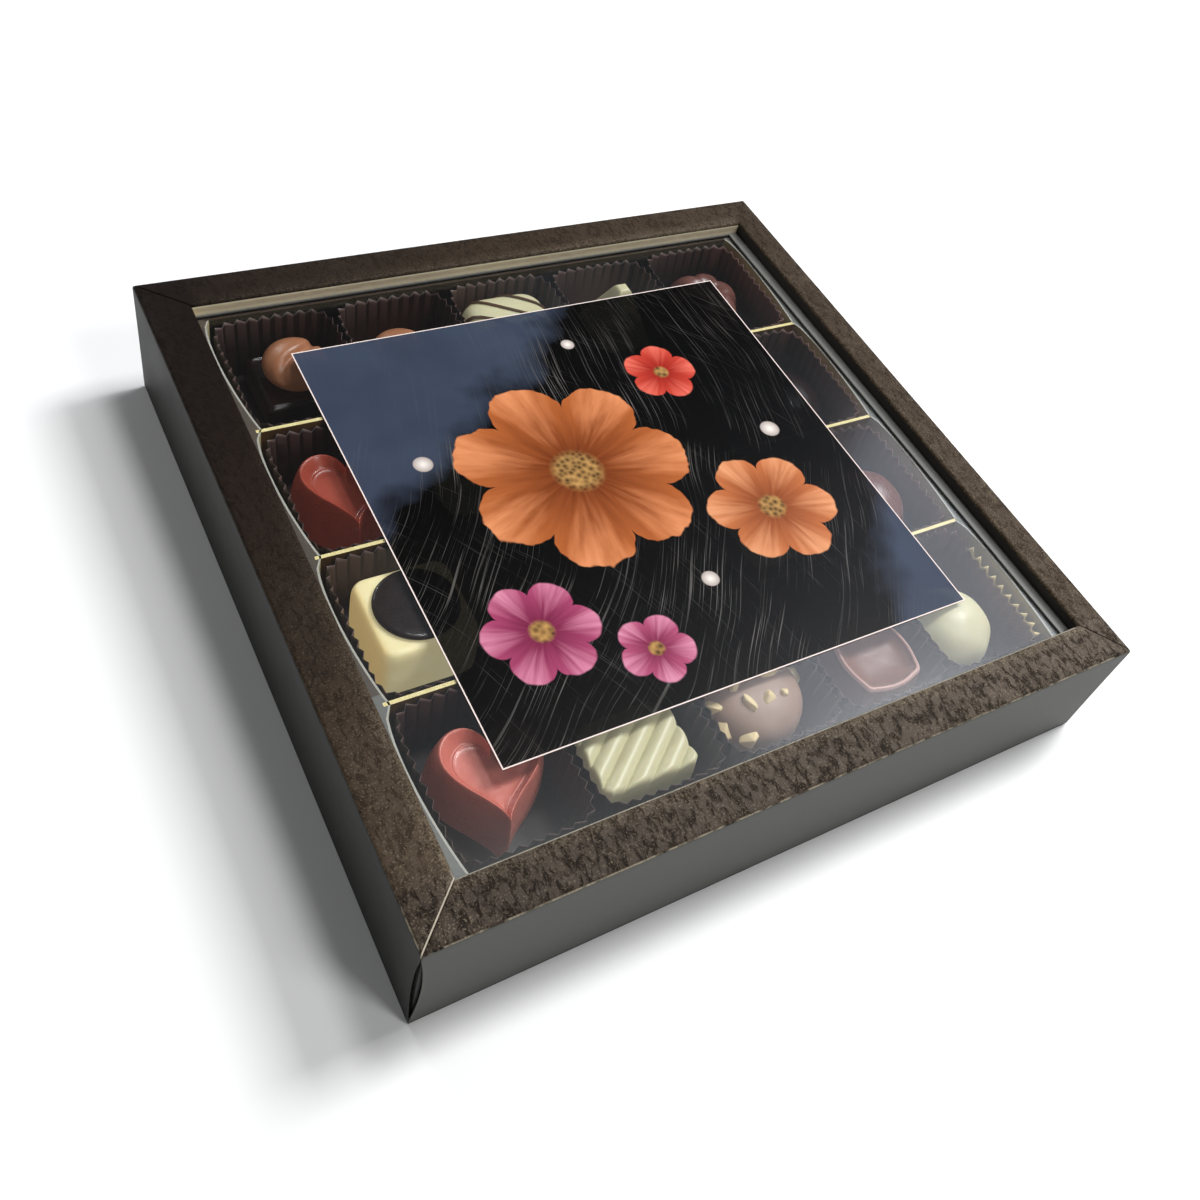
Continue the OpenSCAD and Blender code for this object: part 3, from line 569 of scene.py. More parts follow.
liner_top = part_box("liner_left")[1].z / MM
divider_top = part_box("divider_middle")[1].z / MM
DIVIDER = cut_card("divider_board", divider_top, (128, 92, 50), (78, 52, 30),
                   (250, 238, 180), (214, 190, 122))
SHADED_LINER = cut_card("shaded_liner_board", liner_top, (24, 13, 10), (14, 8, 6),
                        (60, 40, 30), (30, 20, 16))
cover(["liner_front", "liner_back"], SHADED_LINER)
cover(["divider_back", "divider_middle", "divider_front"], DIVIDER)
cover(["window_ring"], FLANGE)
cover(["lid_corner_tabs"], SHADE_CARD)
cover(["tray_floor", "tray_front", "tray_back", "tray_left", "tray_right", "tray_corner_tabs",
       "raised_floor"], INNER)
print("liner top", round(liner_top, 2), "divider top", round(divider_top, 2))

# %% [markdown]
# ## The liner's bowed sides
# The real liner is white-faced board, pinched by a divider's tab at each slot and springing out
# between them, most sharply just in front of each slot. Its top turns outward into a flat shelf
# that meets the tray. One outline is carried from the back to the front, its inner face moved by
# a curve with a steep start, and each step is joined to the last by a ring of faces.

# %% Bend the liner's sides
LINER = cut_card("liner_board", liner_top, (214, 198, 150), (170, 152, 110),
                 (214, 216, 210), (160, 160, 152))
LINER_CUT = fibre_card("liner_cut", (190, 188, 180), (140, 136, 126), 0.5)
SHADED_SHELF = fibre_card("shaded_shelf", (84, 74, 64), (58, 48, 40), 0.6)
LINER_BAYS = 4
BAY_STEPS = 14
CUT_WIDTH = 0.5
SHELF = 91.0
SHELF_DROP = 0.1


def bow(share):
    """How far the liner stands out at a share of the way from one divider to the next in front."""
    return share ** 0.5 * (1 - share) ** 0.9


def bowed_side(node, name, sign, at_divider, reach):
    """A liner side that bows out between the dividers, sharply in front of each one."""
    low, high = [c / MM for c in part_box(node)]
    outer = max(abs(low.x), abs(high.x))
    steps = LINER_BAYS * BAY_STEPS
    form = bmesh.new()
    before = None
    for step in range(steps + 1):
        bay, share = divmod(step / BAY_STEPS, 1)
        y = high.y + (low.y - high.y) * step / steps
        face = at_divider + reach * bow(share)
        outline = [(face, low.z), (face, high.z), (face + CUT_WIDTH, high.z),
                   (SHELF, high.z - SHELF_DROP), (SHELF, high.z - CARD),
                   (face + CARD, high.z - CARD), (face + CARD, low.z + CARD),
                   (outer, low.z + CARD), (outer, low.z)]
        ring = [form.verts.new((sign * px, y, pz)) for px, pz in outline]
        # The left shelf lies in the shade, apart from the bay in front
        shelf = 2 if sign < 0 and bay < LINER_BAYS - 1 else 3
        if before:
            for i in range(len(ring)):
                j = (i + 1) % len(ring)
                wall = form.faces.new((before[i], before[j], ring[j], ring[i]))
                wall.material_index = {1: 1, 2: shelf}.get(i, 0)
        else:
            form.faces.new(ring)
        before = ring
    form.faces.new(before)
    bmesh.ops.recalc_face_normals(form, faces=form.faces)
    return piece(form, name, "base", [LINER, LINER_CUT, SHADED_SHELF, FLANGE], [node], sharp=30)


for side in (("liner_left", "bowed_liner_left", -1, 83.7, 7.0),
             ("liner_right", "bowed_liner_right", 1, 84.9, 4.5)):
    print(side[1], "has", len(bowed_side(*side).data.polygons), "faces")

# %% [markdown]
# ## Window film
# Clear film is almost nothing but its reflection. Glass would refract and cost many bounces, so
# a Mix Shader lets light straight through where its factor is 0 and mirrors the studio where it
# is 1. The factor grows as the film is seen more aslant. The mirror is a little rough, so that
# the lamps in it have soft edges.

# %% Finish the film
FILM_CLEAR = (0.97, 0.98, 0.98, 1)
FILM_ROUGHNESS = 0.15
FILM_MIRROR = 0.05  # what the film mirrors when seen straight on


def clear_film():
    f = Finish("window_film")
    clear = f.node("BsdfTransparent", inputs={"Color": FILM_CLEAR})
    gloss = f.node("BsdfGlossy", inputs={"Roughness": FILM_ROUGHNESS})
    slant = f.node("LayerWeight", inputs={"Blend": 0.5}, output="Facing")
    factor = slant.maths("POWER", 5) * (1 - FILM_MIRROR) + FILM_MIRROR
    return f.done(f.node("MixShader", inputs={0: factor, 1: clear, 2: gloss}))


cover(["window_film"], clear_film())

# %% [markdown]
# ## The panel on the window
# A square of printed clear sheet lies on the film. It carries a plain decoration of its own:
# terracotta, coral and pink blooms, a slate-blue ground and fine pale grasses on near-black.
# As geometry they would need hundreds of leaves, so they are formulas of the distance and angle
# from a flower's middle, flat as print is.

# %% Print the panel
PANEL_HALF = 68.0
PANEL_LINE = 0.3
PANEL_SHEER = 0.07
# Middle, radius, petals, turn in degrees, and the colours from the heart to the tips
BLOOMS = [
    (-12, 6, 33, 7, 10, (96, 44, 22), (190, 106, 58), (228, 150, 104)),
    (34, -22, 19, 6, 40, (120, 60, 34), (204, 120, 74), (232, 166, 122)),
    (30, 34, 11, 5, 0, (140, 34, 28), (206, 74, 60), (232, 120, 102)),
    (-44, -38, 15, 6, 20, (104, 30, 58), (178, 78, 116), (220, 146, 170)),
    (-20, -52, 10, 5, 50, (112, 36, 64), (190, 92, 128), (224, 156, 178)),
]
# Middle and radius
DOTS = [(-50, 20, 2.6), (50, 4, 2.9), (4, -38, 2.4), (8, 52, 2)]


def printed_panel():
    f = Finish("printed_panel")
    x, y = f.axis("X"), f.axis("Y")
    out = abs(x).maths("MAXIMUM", abs(y))

    def fine_noise(flow, detail):
        inputs = {"Vector": flow, "Scale": 1, "Detail": detail}
        return f.node("TexNoise", inputs=inputs, output="Fac")

    def strands(turn, long, fine, level):
        """Curved hairlines, long by fine mm, that run at an angle."""
        drift = f.noise(55, 1)
        bent = f.stretched(turn=turn)
        along = f.axis("Y", bent)
        across = f.axis("X", bent) + (drift - 0.5) * 16 + along * along * 0.003
        flow = f.node("CombineXYZ", inputs=[across / fine, along / long, drift])
        return fine_noise(flow, 3).above(level, 0.1) * f.noise(24, 2).above(0.5, 0.3)

    def bloom(cx, cy, radius, petals, turn, notch=0.3):
        """A flower's mask, and the share of its radius, lobes and veins at each point."""
        dx, dy = x - cx, y - cy
        angle = dy.maths("ARCTAN2", dx)
        far = (dx * dx + dy * dy).maths("SQRT")
        lobes = abs((angle * (petals / 2) + math.radians(turn)).maths("COSINE"))
        edge = (lobes.maths("POWER", 0.55) * notch + (1 - notch)) * radius
        edge = edge + (f.noise(5, 2) - 0.5) * radius * 0.12
        veins = fine_noise(f.node("CombineXYZ", inputs=[angle * 9, far / 14, 0.3]), 4)
        return (edge - far).above(0, 0.5), far / radius, lobes, veins

    ground = f.blend(f.noise(30, 3), (3, 3, 3), (12, 12, 12))
    sky = (y * 0.8 - x * 0.6 + (f.noise(26, 3) - 0.5) * 40).above(46, 10)
    corner = (x * 0.9 - y * 0.5 + (f.noise(26, 3) - 0.5) * 30).above(74, 10)
    sky = sky.maths("MAXIMUM", corner)
    base = f.blend(sky, ground, f.blend(f.noise(18, 2), (52, 59, 74), (66, 75, 92)))
    dry = 1 - sky * 0.85
    base = f.blend(strands(24, 30, 0.35, 0.64) * dry * 0.42, base, (150, 146, 142))
    base = f.blend(strands(-30, 26, 0.3, 0.68) * dry * 0.3, base, (120, 118, 116))
    for *place, dark, mid, light in BLOOMS:
        shape, share, lobes, veins = bloom(*place)
        petal = f.blend(share * 0.9 + veins * 0.5 - 0.3, dark, mid)
        petal = f.blend(lobes * share * veins * 1.7 - 0.25, petal, light)
        seeds = f.blend(f.cells(1.6), (40, 24, 16), (196, 150, 90))
        petal = f.blend(share.below(0.2, 0.08), petal, seeds)
        base = f.blend(shape, base, petal)
    for cx, cy, radius in DOTS:
        dx, dy = x - cx, y - cy
        far = (dx * dx + dy * dy).maths("SQRT") / radius
        dot = f.blend(far, (240, 232, 224), (168, 156, 150))
        base = f.blend(far.below(1, 0.12), base, dot)
    border = out.above(PANEL_HALF - PANEL_LINE, 0.08)
    base = f.blend(border, base, (236, 220, 214))
    see = 1 - (1 - border) * PANEL_SHEER
    return f.solid(base, 0.3, Alpha=see, Specular_IOR_Level=0.1)


cover(["picture_panel"], printed_panel())
print("blooms and dots in the print:", len(BLOOMS) + len(DOTS))

# %% [markdown]
# ## Fluted paper cups
# A real cup is a disc of thin greaseproof paper pressed between two fluted dies, so its wall is a
# zigzag and its rim runs up and down in small teeth. A circle's vertices are moved to a rounded
# rectangle with every other one further in, the ring is extruded upward in steps that lean
# outward, and a Solidify modifier gives the paper its thickness at the end.

# %% Mix the cups' paper
cup_low, cup_high = [c.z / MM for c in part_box("cups_row1")]


def paper(name, colour, deep, high):
    """Greaseproof paper, paler towards the rim, where more light comes in."""
    f = Finish(name)
    x, y, z = f.axis("X"), f.axis("Y"), f.axis("Z")
    fibre = f.noise(0.6, 4, 0.6)
    patches = f.noise(38, 1).above(0.55, 0.2)
    # Painted light: the upper walls of the cups at the right are lighter
    right = x.above(80, 5) * z.above(25, 8)
    # The front right cup's rim catches the window's light on its right side
    glow = x.above(81.5, 1) * y.below(-52, 3) * z.above(cup_high - 1.8, 0.8)
    base = f.blend(f.noise(7, 3), deep, colour)
    base = f.blend(patches * 0.5, base, (84, 50, 42))
    base = f.blend(z.above(27, 9) * (fibre * 0.5 + 0.5), base, high)
    base = f.blend(right * 0.6, base, (128, 92, 84))
    base = f.blend(glow, base, (236, 214, 160))
    return f.solid(base, 0.4 + fibre * 0.2, f.bump(fibre, 0.06))


CUP_PAPER = paper("cup_paper", (36, 20, 16), (20, 11, 9), (38, 22, 19))
# A lighter copy of the paper for the flutes' lit sides: painted light
CUP_LIT_SIDE = paper("cup_paper_lit_side", (54, 36, 33), (32, 19, 17), (96, 76, 72))
print("cups from", round(cup_low, 2), "to", round(cup_high, 2), "mm")

# %% Space points round a cup
CELL_W, CELL_D = 34.16, 43.3
CUP_GAPS = (0.35, 0.85)  # between a cup's rim and its cell, along x and y
SQUARENESS = 7.0  # 2 would be an ellipse
FINE_STEPS = 2000


def rounded(turn, a, b):
    """The point of a rounded rectangle of half sides a and b at an angle."""
    c, s = math.cos(turn), math.sin(turn)
    reach = (abs(c / a) ** SQUARENESS + abs(s / b) ** SQUARENESS) ** (-1 / SQUARENESS)
    return Vector((c * reach, s * reach, 0))


def even_turns(a, b, count):
    """Angles that space points evenly round that rounded rectangle."""
    fine = [rounded(math.tau * i / FINE_STEPS, a, b) for i in range(FINE_STEPS + 1)]
    run = [0.0]
    for p, q in zip(fine, fine[1:]):
        run.append(run[-1] + (q - p).length)
    found, at = [], 0
    for i in range(count):
        while run[at] < run[-1] * i / count:
            at += 1
        found.append(math.tau * at / FINE_STEPS)
    return found


# %% Fold the cups
FLUTES = 40
FLUTE_DEPTH = 1.2
FOOT_DEPTH = 0.25  # a flute's depth at the foot, as a share
LEAN = 0.9
CRUMPLE = 0.25
RIM_SLACK = 1.3  # the rim's height over its solid before it sinks
CUP_RISE = [0, 0.12, 0.35, 0.6, 0.82, 0.93, 1]
# Where a cup's rim has sunk: the direction in degrees, and by how many mm
CUP_SLUMPS = {(4, 5): (-10, 1.4), (3, 5): (10, 1.2), (2, 1): (80, 1.0), (1, 4): (90, 0.6)}
TOOTH = 0.5
CUP_TEETH = {(4, 5): 2.2, (4, 2): 0.8, (3, 5): 0.8}
PAPER_THICK = 0.14


def cup(form, row, column):
    a_top, b_top = CELL_W / 2 - CUP_GAPS[0], CELL_D / 2 - CUP_GAPS[1]
    count = FLUTES * 2
    turns = even_turns(a_top, b_top, count)
    loop = list(bmesh.ops.create_circle(form, cap_ends=True, segments=count, radius=1)["verts"])
    middle = Vector(((column - 3) * CELL_W, (2.5 - row) * CELL_D, 0))
    height = cup_high - cup_low + RIM_SLACK
    slump_turn, slump_depth = CUP_SLUMPS.get((row, column), (0, 0))
    tooth_height = CUP_TEETH.get((row, column), TOOTH)

    def settle(verts, share):
        """Moves a ring of points to its place at a share of the height."""
        draw = LEAN * (1 - share)
        for i, (v, turn) in enumerate(zip(verts, turns)):
            inner = 1 - i % 2
            p = rounded(turn, a_top - draw, b_top - draw)
            wobble = noise.noise(Vector((turn * 3, row * 5.1 + column, share * 2)))
            depth = FOOT_DEPTH + (1 - FOOT_DEPTH) * min(1, share * 3)
            p -= p.normalized() * (FLUTE_DEPTH * depth * inner + CRUMPLE * abs(wobble) * share)
            tooth = tooth_height * inner if share == CUP_RISE[-1] else 0
            facing_slump = max(0, math.cos(turn - math.radians(slump_turn)))
            sunk = 0.5 * (0.5 + 0.5 * wobble) + slump_depth * facing_slump ** 2
            p.z = cup_low + 0.05 + height * share - tooth - sunk * share
            v.co = p + middle

    edges = list(loop[0].link_faces[0].edges)
    settle(loop, 0)
    for share in CUP_RISE[1:]:
        made = bmesh.ops.extrude_edge_only(form, edges=edges)["geom"]
        fresh = set(new_points(made))
        loop = [next(e.other_vert(v) for e in v.link_edges if e.other_vert(v) in fresh)
                for v in loop]
        # Every other flute face takes the lighter paper: painted light on the flutes' lit sides
        for i in range(0, count, 2):
            next(f for f in loop[i].link_faces if loop[i + 1] in f.verts).material_index = 1
        edges = new_rim(made)
        settle(loop, share)


for row in range(1, 5):
    form = bmesh.new()
    for column in range(1, 6):
        cup(form, row, column)
    bmesh.ops.recalc_face_normals(form, faces=form.faces)
    made = piece(form, f"paper_cups_{row}", "base", [CUP_PAPER, CUP_LIT_SIDE], [f"cups_row{row}"],
                 sharp=80)
    thick = made.modifiers.new("paper", "SOLIDIFY")
    thick.thickness = PAPER_THICK * MM
    thick.offset = 0
    print("faces in this row of cups:", len(made.data.polygons))

# %% [markdown]
# ## Chocolate
# Tempered chocolate takes the polish of its mould: a soft gloss, a broken highlight and very
# slight waves. White and milk chocolate let some light in, which Subsurface gives, and a weak
# emission of the same colour stands for light that bounces about inside the box. One formula
# serves all of them and takes two colours and a roughness.


# %% Temper the chocolates
def chocolate(name, colour, deep, roughness=0.3, glow=0.0, amber_light=None, lift=0.1):
    """Two clouded colours; amber_light gives an x, and the colour of painted light left of it."""
    f = Finish(name)
    clouds = f.noise(5, 3)
    fine = f.noise(0.35, 2)
    waves = f.noise(3, 2)
    base = f.blend(clouds, deep, colour)
    if amber_light:
        side, side_colour = amber_light
        # Painted light: the side left of that x takes a warm golden colour
        base = f.blend(f.axis("X").below(side, 2.6) * 0.8, base, side_colour)
    rough = roughness + clouds * 0.12 + fine * 0.05
    return f.solid(
        base, rough, f.bump(waves + fine * 0.15, 0.1), Subsurface_Weight=glow,
        Subsurface_Radius=(1, 0.6, 0.35), Subsurface_Scale=2 * MM,
        Emission_Color=base, Emission_Strength=lift)


DARK = chocolate("dark_chocolate", (38, 23, 19), (24, 14, 11), 0.16)
MILK = chocolate("milk_chocolate", (124, 84, 70), (102, 66, 54), 0.22, 0.1)
BUTTON = chocolate("nut_cream", (172, 118, 86), (148, 94, 66), 0.28, 0.15)
RUBY = chocolate("ruby_chocolate", (160, 76, 60), (134, 58, 46), 0.2, 0.15, lift=0.14)
ROSE = chocolate("rose_chocolate", (212, 126, 112), (188, 98, 86), 0.2, 0.15, lift=0.06)
WHITE = chocolate("white_chocolate", (204, 199, 166), (194, 185, 146), 0.3, 0.3, lift=0.14)
# The cream square's left side gets a warm painted light
cream_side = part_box("cream_square_r3c1")[0].x / MM + 0.8
CREAM = chocolate("cream_chocolate", (218, 207, 164), (208, 192, 142), 0.32, 0.3,
                  (cream_side, (226, 184, 104)), lift=0.5)
DUSKY = chocolate("dusky_milk_chocolate", (156, 128, 110), (132, 102, 88), 0.4, 0.1)
PINK = chocolate("pink_brown_chocolate", (118, 78, 70), (88, 54, 49), 0.2, 0.1)
# A paler copy of the milk chocolate for the rim's crest: painted highlight
RIM_HIGHLIGHT = chocolate("rim_highlight_chocolate", (196, 156, 146), (176, 134, 124), 0.22, 0.1)
STRIPE = chocolate("piped_chocolate", (82, 56, 36), (62, 40, 26), 0.3)
NUT = chocolate("chopped_nut", (236, 216, 172), (206, 176, 124), 0.5, 0.2)
print("amber left of x =", round(cream_side, 1), "mm")

# %% [markdown]
# ## Moulded forms
# A moulded chocolate is an outline that rises with a little draft, turns over a rounded shoulder
# and often dips into a dish. So each one is an outline, and a list of rings: what share of the
# outline it has, and at what height. The outline's face is extruded from ring to ring, and
# subdivision rounds what lies between. A last step fits each form to the box of its solid.


# %% Mould, spin and seat
def moulded(points, rings, pale=()):
    """Extrudes an outline through rings of (share of the outline, height).

    The walls that end at a ring in pale get the second material.
    """
    form = bmesh.new()
    ring = bmesh.ops.create_circle(form, cap_ends=True, segments=len(points), radius=1)["verts"]
    for v, place in zip(ring, points):
        v.co.xy = place
    top = ring[0].link_faces[0]
    share, z = rings[0]
    bmesh.ops.scale(form, vec=(share, share, 1), verts=form.verts)
    for level, (next_share, next_z) in enumerate(rings[1:], 1):
        made = bmesh.ops.extrude_face_region(form, geom=[top])["geom"]
        if level > 1:
            bmesh.ops.delete(form, geom=[top], context="FACES_ONLY")
        top = next(f for f in made if isinstance(f, bmesh.types.BMFace))
        for edge in top.edges:
            for wall in edge.link_faces:
                wall.material_index = int(level in pale and wall is not top)
        verts = list(top.verts)
        bmesh.ops.translate(form, vec=(0, 0, next_z - z), verts=verts)
        bmesh.ops.scale(form, vec=(next_share / share, next_share / share, 1), verts=verts)
        share, z = next_share, next_z
    close(form)
    return form


def spun(profile, steps=48):
    """Spins a profile of (radius, height) once round the upright axis."""
    form = bmesh.new()
    line = [form.verts.new((r, 0, z)) for r, z in profile]
    edges = [form.edges.new(pair) for pair in zip(line, line[1:])]
    bmesh.ops.spin(form, geom=line + edges, cent=(0, 0, 0), axis=(0, 0, 1), angle=math.tau,
                   steps=steps, use_merge=True)
    bmesh.ops.remove_doubles(form, verts=form.verts, dist=1e-4)
    bmesh.ops.recalc_face_normals(form, faces=form.faces)
    return form


def extent(points):
    """The lowest and the highest corner of the box round some vertices."""
    return [Vector(pick(v.co[i] for v in points) for i in range(3)) for pick in (min, max)]


def fit(form, low, high):
    """Stretches a form until it fills a box."""
    first, last = extent(form.verts)
    for v in form.verts:
        for axis in range(3):
            share = (v.co[axis] - first[axis]) / (last[axis] - first[axis])
            v.co[axis] = low[axis] + share * (high[axis] - low[axis])
    return form


def seat(form, node, turn=0):
    """Turns a form by degrees, then fits it to the box of a CAD node."""
    turned_by(form, turn)
    return fit(form, *[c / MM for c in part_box(node)])


def sweet(form, node, name, *materials, turn=0, rounds=2):
    """Seats a form in its solid's place and makes it a smooth piece."""
    seat(form, node, turn)
    return piece(form, name, "base", materials, [node], sharp=180, rounds=rounds)


# %% Cast the hearts
HEART_RINGS = [
    (0.985, 0), (1, 0.8), (1, 3), (0.985, 6.5), (0.955, 10), (0.915, 13), (0.875, 15.4),
    (0.845, 16.8), (0.815, 17.5), (0.79, 17.4), (0.73, 16.4), (0.66, 15.1), (0.63, 14.8),
    (0.615, 15), (0.595, 15), (0.575, 14.75), (0.45, 14.7), (0.25, 14.7)]


def heart_points(width, length, count=44):
    points = []
    for i in range(count):
        t = math.tau * i / count
        x = math.sin(t) ** 3
        lobes = 13 * math.cos(t) - 5 * math.cos(2 * t) - 2 * math.cos(3 * t) - math.cos(4 * t)
        points.append((-x * width / 2, (lobes + 2.5) / 14.5 * length / 2))
    return points


for node, name, material in (("heart_r2c1", "ruby_heart_back", RUBY),
                             ("heart_r4c1", "rose_heart_front", ROSE),
                             ("heart_r3c3", "milk_heart", MILK)):
    sweet(moulded(heart_points(28, 30), HEART_RINGS), node, name, material, turn=-10)

# %% Cast the squares
CORNERS = ((1, 1), (-1, 1), (-1, -1), (1, -1))
RIMMED_RINGS = [
    (0.93, 0), (0.99, 0.8), (1, 3), (0.985, 9), (0.95, 13.4), (0.905, 15.8), (0.87, 16.45),
    (0.845, 16.5), (0.815, 16.2), (0.78, 15.5), (0.68, 14.5), (0.5, 13.8), (0.25, 13.5)]
RIM_LEVELS = (6, 7, 8)
MOCHA_RINGS = [
    (0.96, 0), (0.995, 0.5), (1, 1.4), (0.985, 6.4), (0.965, 7.4), (0.9, 8.2), (0.855, 8.55),
    (0.83, 8.6), (0.805, 8.45), (0.77, 8.2), (0.4, 8.2)]
CREAM_RINGS = [
    (0.94, 0), (0.99, 0.8), (1, 2.6), (1, 12.4), (0.985, 14.6), (0.94, 16), (0.87, 16.5),
    (0.4, 16.5)]
PYRAMID_RINGS = [
    (0.97, 0), (1, 0.5), (0.96, 1.6), (0.94, 2.2), (0.26, 16.9), (0.22, 17.8), (0.16, 18.5),
    (0.08, 18.6)]
# Share of the disc's radius and of its thickness
DISC_PROFILE = [
    (0, 0), (0.9, 0), (0.985, 0.15), (1, 0.45), (0.985, 0.75), (0.93, 0.95), (0.8, 1.0),
    (0, 1.02)]


def square_points(half, corner, bulge=0.0, count=6):
    """A square with round corners, whose sides may bulge."""
    points = []
    flat = half - corner
    for quarter, (sx, sy) in enumerate(CORNERS):
        points += arc(sx * flat, sy * flat, corner, 90 * quarter, 90 * quarter + 90, count)
        for share in (0.25, 0.5, 0.75):
            along = flat * (1 - 2 * share)
            out = half + bulge * (1 - (2 * share - 1) ** 2)
            points.append([(along, out), (-out, along), (-along, -out), (out, -along)][quarter])
    return points


for node, name, turn in (("rimmed_square_r2c3", "rimmed_square_back", 0),
                         ("rimmed_square_r4c4", "rimmed_square_front", 2)):
    # The crest rings take the paler copy: painted highlight
    form = moulded(square_points(9.8, 2.2, 1.6), RIMMED_RINGS, RIM_LEVELS)
    sweet(form, node, name, MILK, RIM_HIGHLIGHT, turn=turn)
for column in (1, 2):
    form = moulded(square_points(11.5, 1.5), MOCHA_RINGS)
    sweet(form, f"mocha_square_r1c{column}", f"mocha_square_{column}", DARK)
sweet(moulded(square_points(12.5, 3.4), CREAM_RINGS), "cream_square_r3c1", "cream_square", CREAM)
sweet(spun(DISC_PROFILE, 64), "cream_disc", "dark_disc", DARK, rounds=1)
sweet(moulded(square_points(9.5, 1.0), PYRAMID_RINGS), "pyramid_r1c4", "white_pyramid", WHITE)

# %% [markdown]
# ## Flowers, domes and truffles
# The flower is a moulded outline of six lobes. Domes and truffles are turned on a spindle, and a
# truffle that was rolled by hand is never quite round, so slow noise moves its surface.

# %% Shape the round ones
FLOWER_RINGS = [
    (0.9, 0), (0.98, 0.8), (1, 2.6), (0.985, 6.5), (0.93, 10), (0.83, 12.8), (0.7, 14.6),
    (0.56, 15.4), (0.44, 15.5), (0.34, 15.0), (0.27, 14.5), (0.22, 14.5), (0.17, 14.9),
    (0.08, 15.2)]
CROWN_STEPS = 12
SWELL_SCALE = 0.16
# Solid, name, chocolate, radius, height, skirt, fullness, depth of the swells and their seed
ROUND_ONES = [
    ("dome_r2c5", "dark_dome", DARK, 13.7, 16.8, 7.5, 2.2, 0, 0),
    ("truffle_r3c2", "milk_truffle", MILK, 12.5, 18.4, 7, 2.1, 0.5, 3),
    ("truffle_r3c5", "pink_truffle", PINK, 12.5, 18.4, 7, 2.1, 0.4, 5),
    ("truffle_r4c5", "white_truffle", WHITE, 12.5, 18.4, 7, 2.1, 0.4, 8),
    ("nut_dome_r4c3", "nut_dome", DUSKY, 13.5, 17, 8, 2.9, 0.2, 9),
]


def flower_points(radius, petals=6, notch=0.24, count=72):
    points = []
    for i in range(count):
        t = math.tau * i / count
        r = radius * (1 - notch * (1 - abs(math.cos(petals * t / 2)) ** 0.6))
        points.append((r * math.cos(t), r * math.sin(t)))
    return points


def dome_profile(radius, height, skirt, fullness):
    """A dome on an upright skirt, from the middle of its foot to its tip."""
    foot = [(0, 0), (radius * 0.94, 0), (radius * 0.985, 0.4), (radius, 1.4), (radius, skirt)]
    crown = []
    for i in range(1, CROWN_STEPS + 1):
        a = math.pi / 2 * i / CROWN_STEPS
        out, up = math.cos(a) ** (2 / fullness), math.sin(a) ** (2 / fullness)
        crown.append((radius * out, skirt + (height - skirt) * up))
    return foot + crown


def rolled(form, depth, seed):
    """Swells a form in slow waves, as a palm would."""
    for v in form.verts:
        swell = noise.noise(v.co * SWELL_SCALE + Vector((seed, 0, 0)))
        v.co += v.co.normalized() * depth * swell
    return form


for node, name in (("flower_r1c5", "flower_back"), ("flower_r2c4", "flower_middle")):
    sweet(moulded(flower_points(13.5), FLOWER_RINGS), node, name, PINK, rounds=1)
for node, name, material, *sizes, depth, seed in ROUND_ONES:
    sweet(rolled(spun(dome_profile(*sizes)), depth, seed), node, name, material, rounds=1)

# %% [markdown]
# ## Coffee buttons
# Each mocha square carries one ball with a groove pressed across it, like a coffee bean. The
# solids say where the balls are. A ball's own vertices are pressed in by a bell curve along a
# slightly bent line, which gives a soft groove that a cut couldn't.

# %% Press the buttons
FIRST_GROOVE, GROOVE_TURN = 46, 8  # degrees: where the first lies, and how much less the next
GROOVE_BEND, GROOVE_SHIFT = 0.14, 0.08
GROOVE_DEPTH, GROOVE_HALF = 0.3, 0.14
BUTTON_FOOT = -0.75
BUTTON_SWELL = 0.04


def solid_boxes(node):
    """The low and high corners of each separate solid of a CAD node, in mm."""
    whole = bmesh.new()
    whole.from_mesh(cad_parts[node].data)
    bmesh.ops.scale(whole, vec=(1 / MM,) * 3, verts=whole.verts)
    bmesh.ops.remove_doubles(whole, verts=whole.verts, dist=1e-3)
    left = set(whole.verts)
    boxes = []
    while left:
        group = {left.pop()}
        stack = list(group)
        while stack:
            fresh = {v for e in stack.pop().link_edges for v in e.verts} - group
            group |= fresh
            stack += fresh
        left -= group
        boxes.append(extent(group))
    whole.free()
    # From left to right, so that a solid gets the same number every time
    return sorted(boxes, key=lambda box: tuple(box[0]))


def joined(forms):
    whole = bmesh.new()
    for form in forms:
        part = bpy.data.meshes.new("part")
        form.to_mesh(part)
        form.free()
        whole.from_mesh(part)
        bpy.data.meshes.remove(part)
    return whole


def button(low, high, index):
    """A grooved ball that a little more than fills a box."""
    form = bmesh.new()
    bmesh.ops.create_uvsphere(form, u_segments=64, v_segments=40, radius=1)
    a = math.radians(FIRST_GROOVE - GROOVE_TURN * index)
    for v in form.verts:
        p = v.co.copy()
        along = p.x * math.cos(a) + p.y * math.sin(a)
        across = -p.x * math.sin(a) + p.y * math.cos(a) + GROOVE_BEND * math.sin(2.6 * along)
        bell = math.exp(-(((across + GROOVE_SHIFT) / GROOVE_HALF) ** 2))
        v.co = p * (1 - GROOVE_DEPTH * bell * max(0, p.z) ** 0.6)
        v.co.z = max(v.co.z, BUTTON_FOOT)
    swell = (high - low) * BUTTON_SWELL
    swell.z = 0
    return fit(form, low - swell, high + swell)


buttons = [button(*box, i) for i, box in enumerate(solid_boxes("mocha_buttons"))]
print("buttons:", len(buttons))
piece(joined(buttons), "grooved_buttons", "base", [BUTTON], ["mocha_buttons"], sharp=180)

# %% [markdown]
# ## Striped ovals
# The ovals are moulded, and thin stripes are piped across them aslant. Tubes would have to be
# bent to the form, so a stripe is a slice of the oval's own skin, made thick: it follows the
# form exactly.

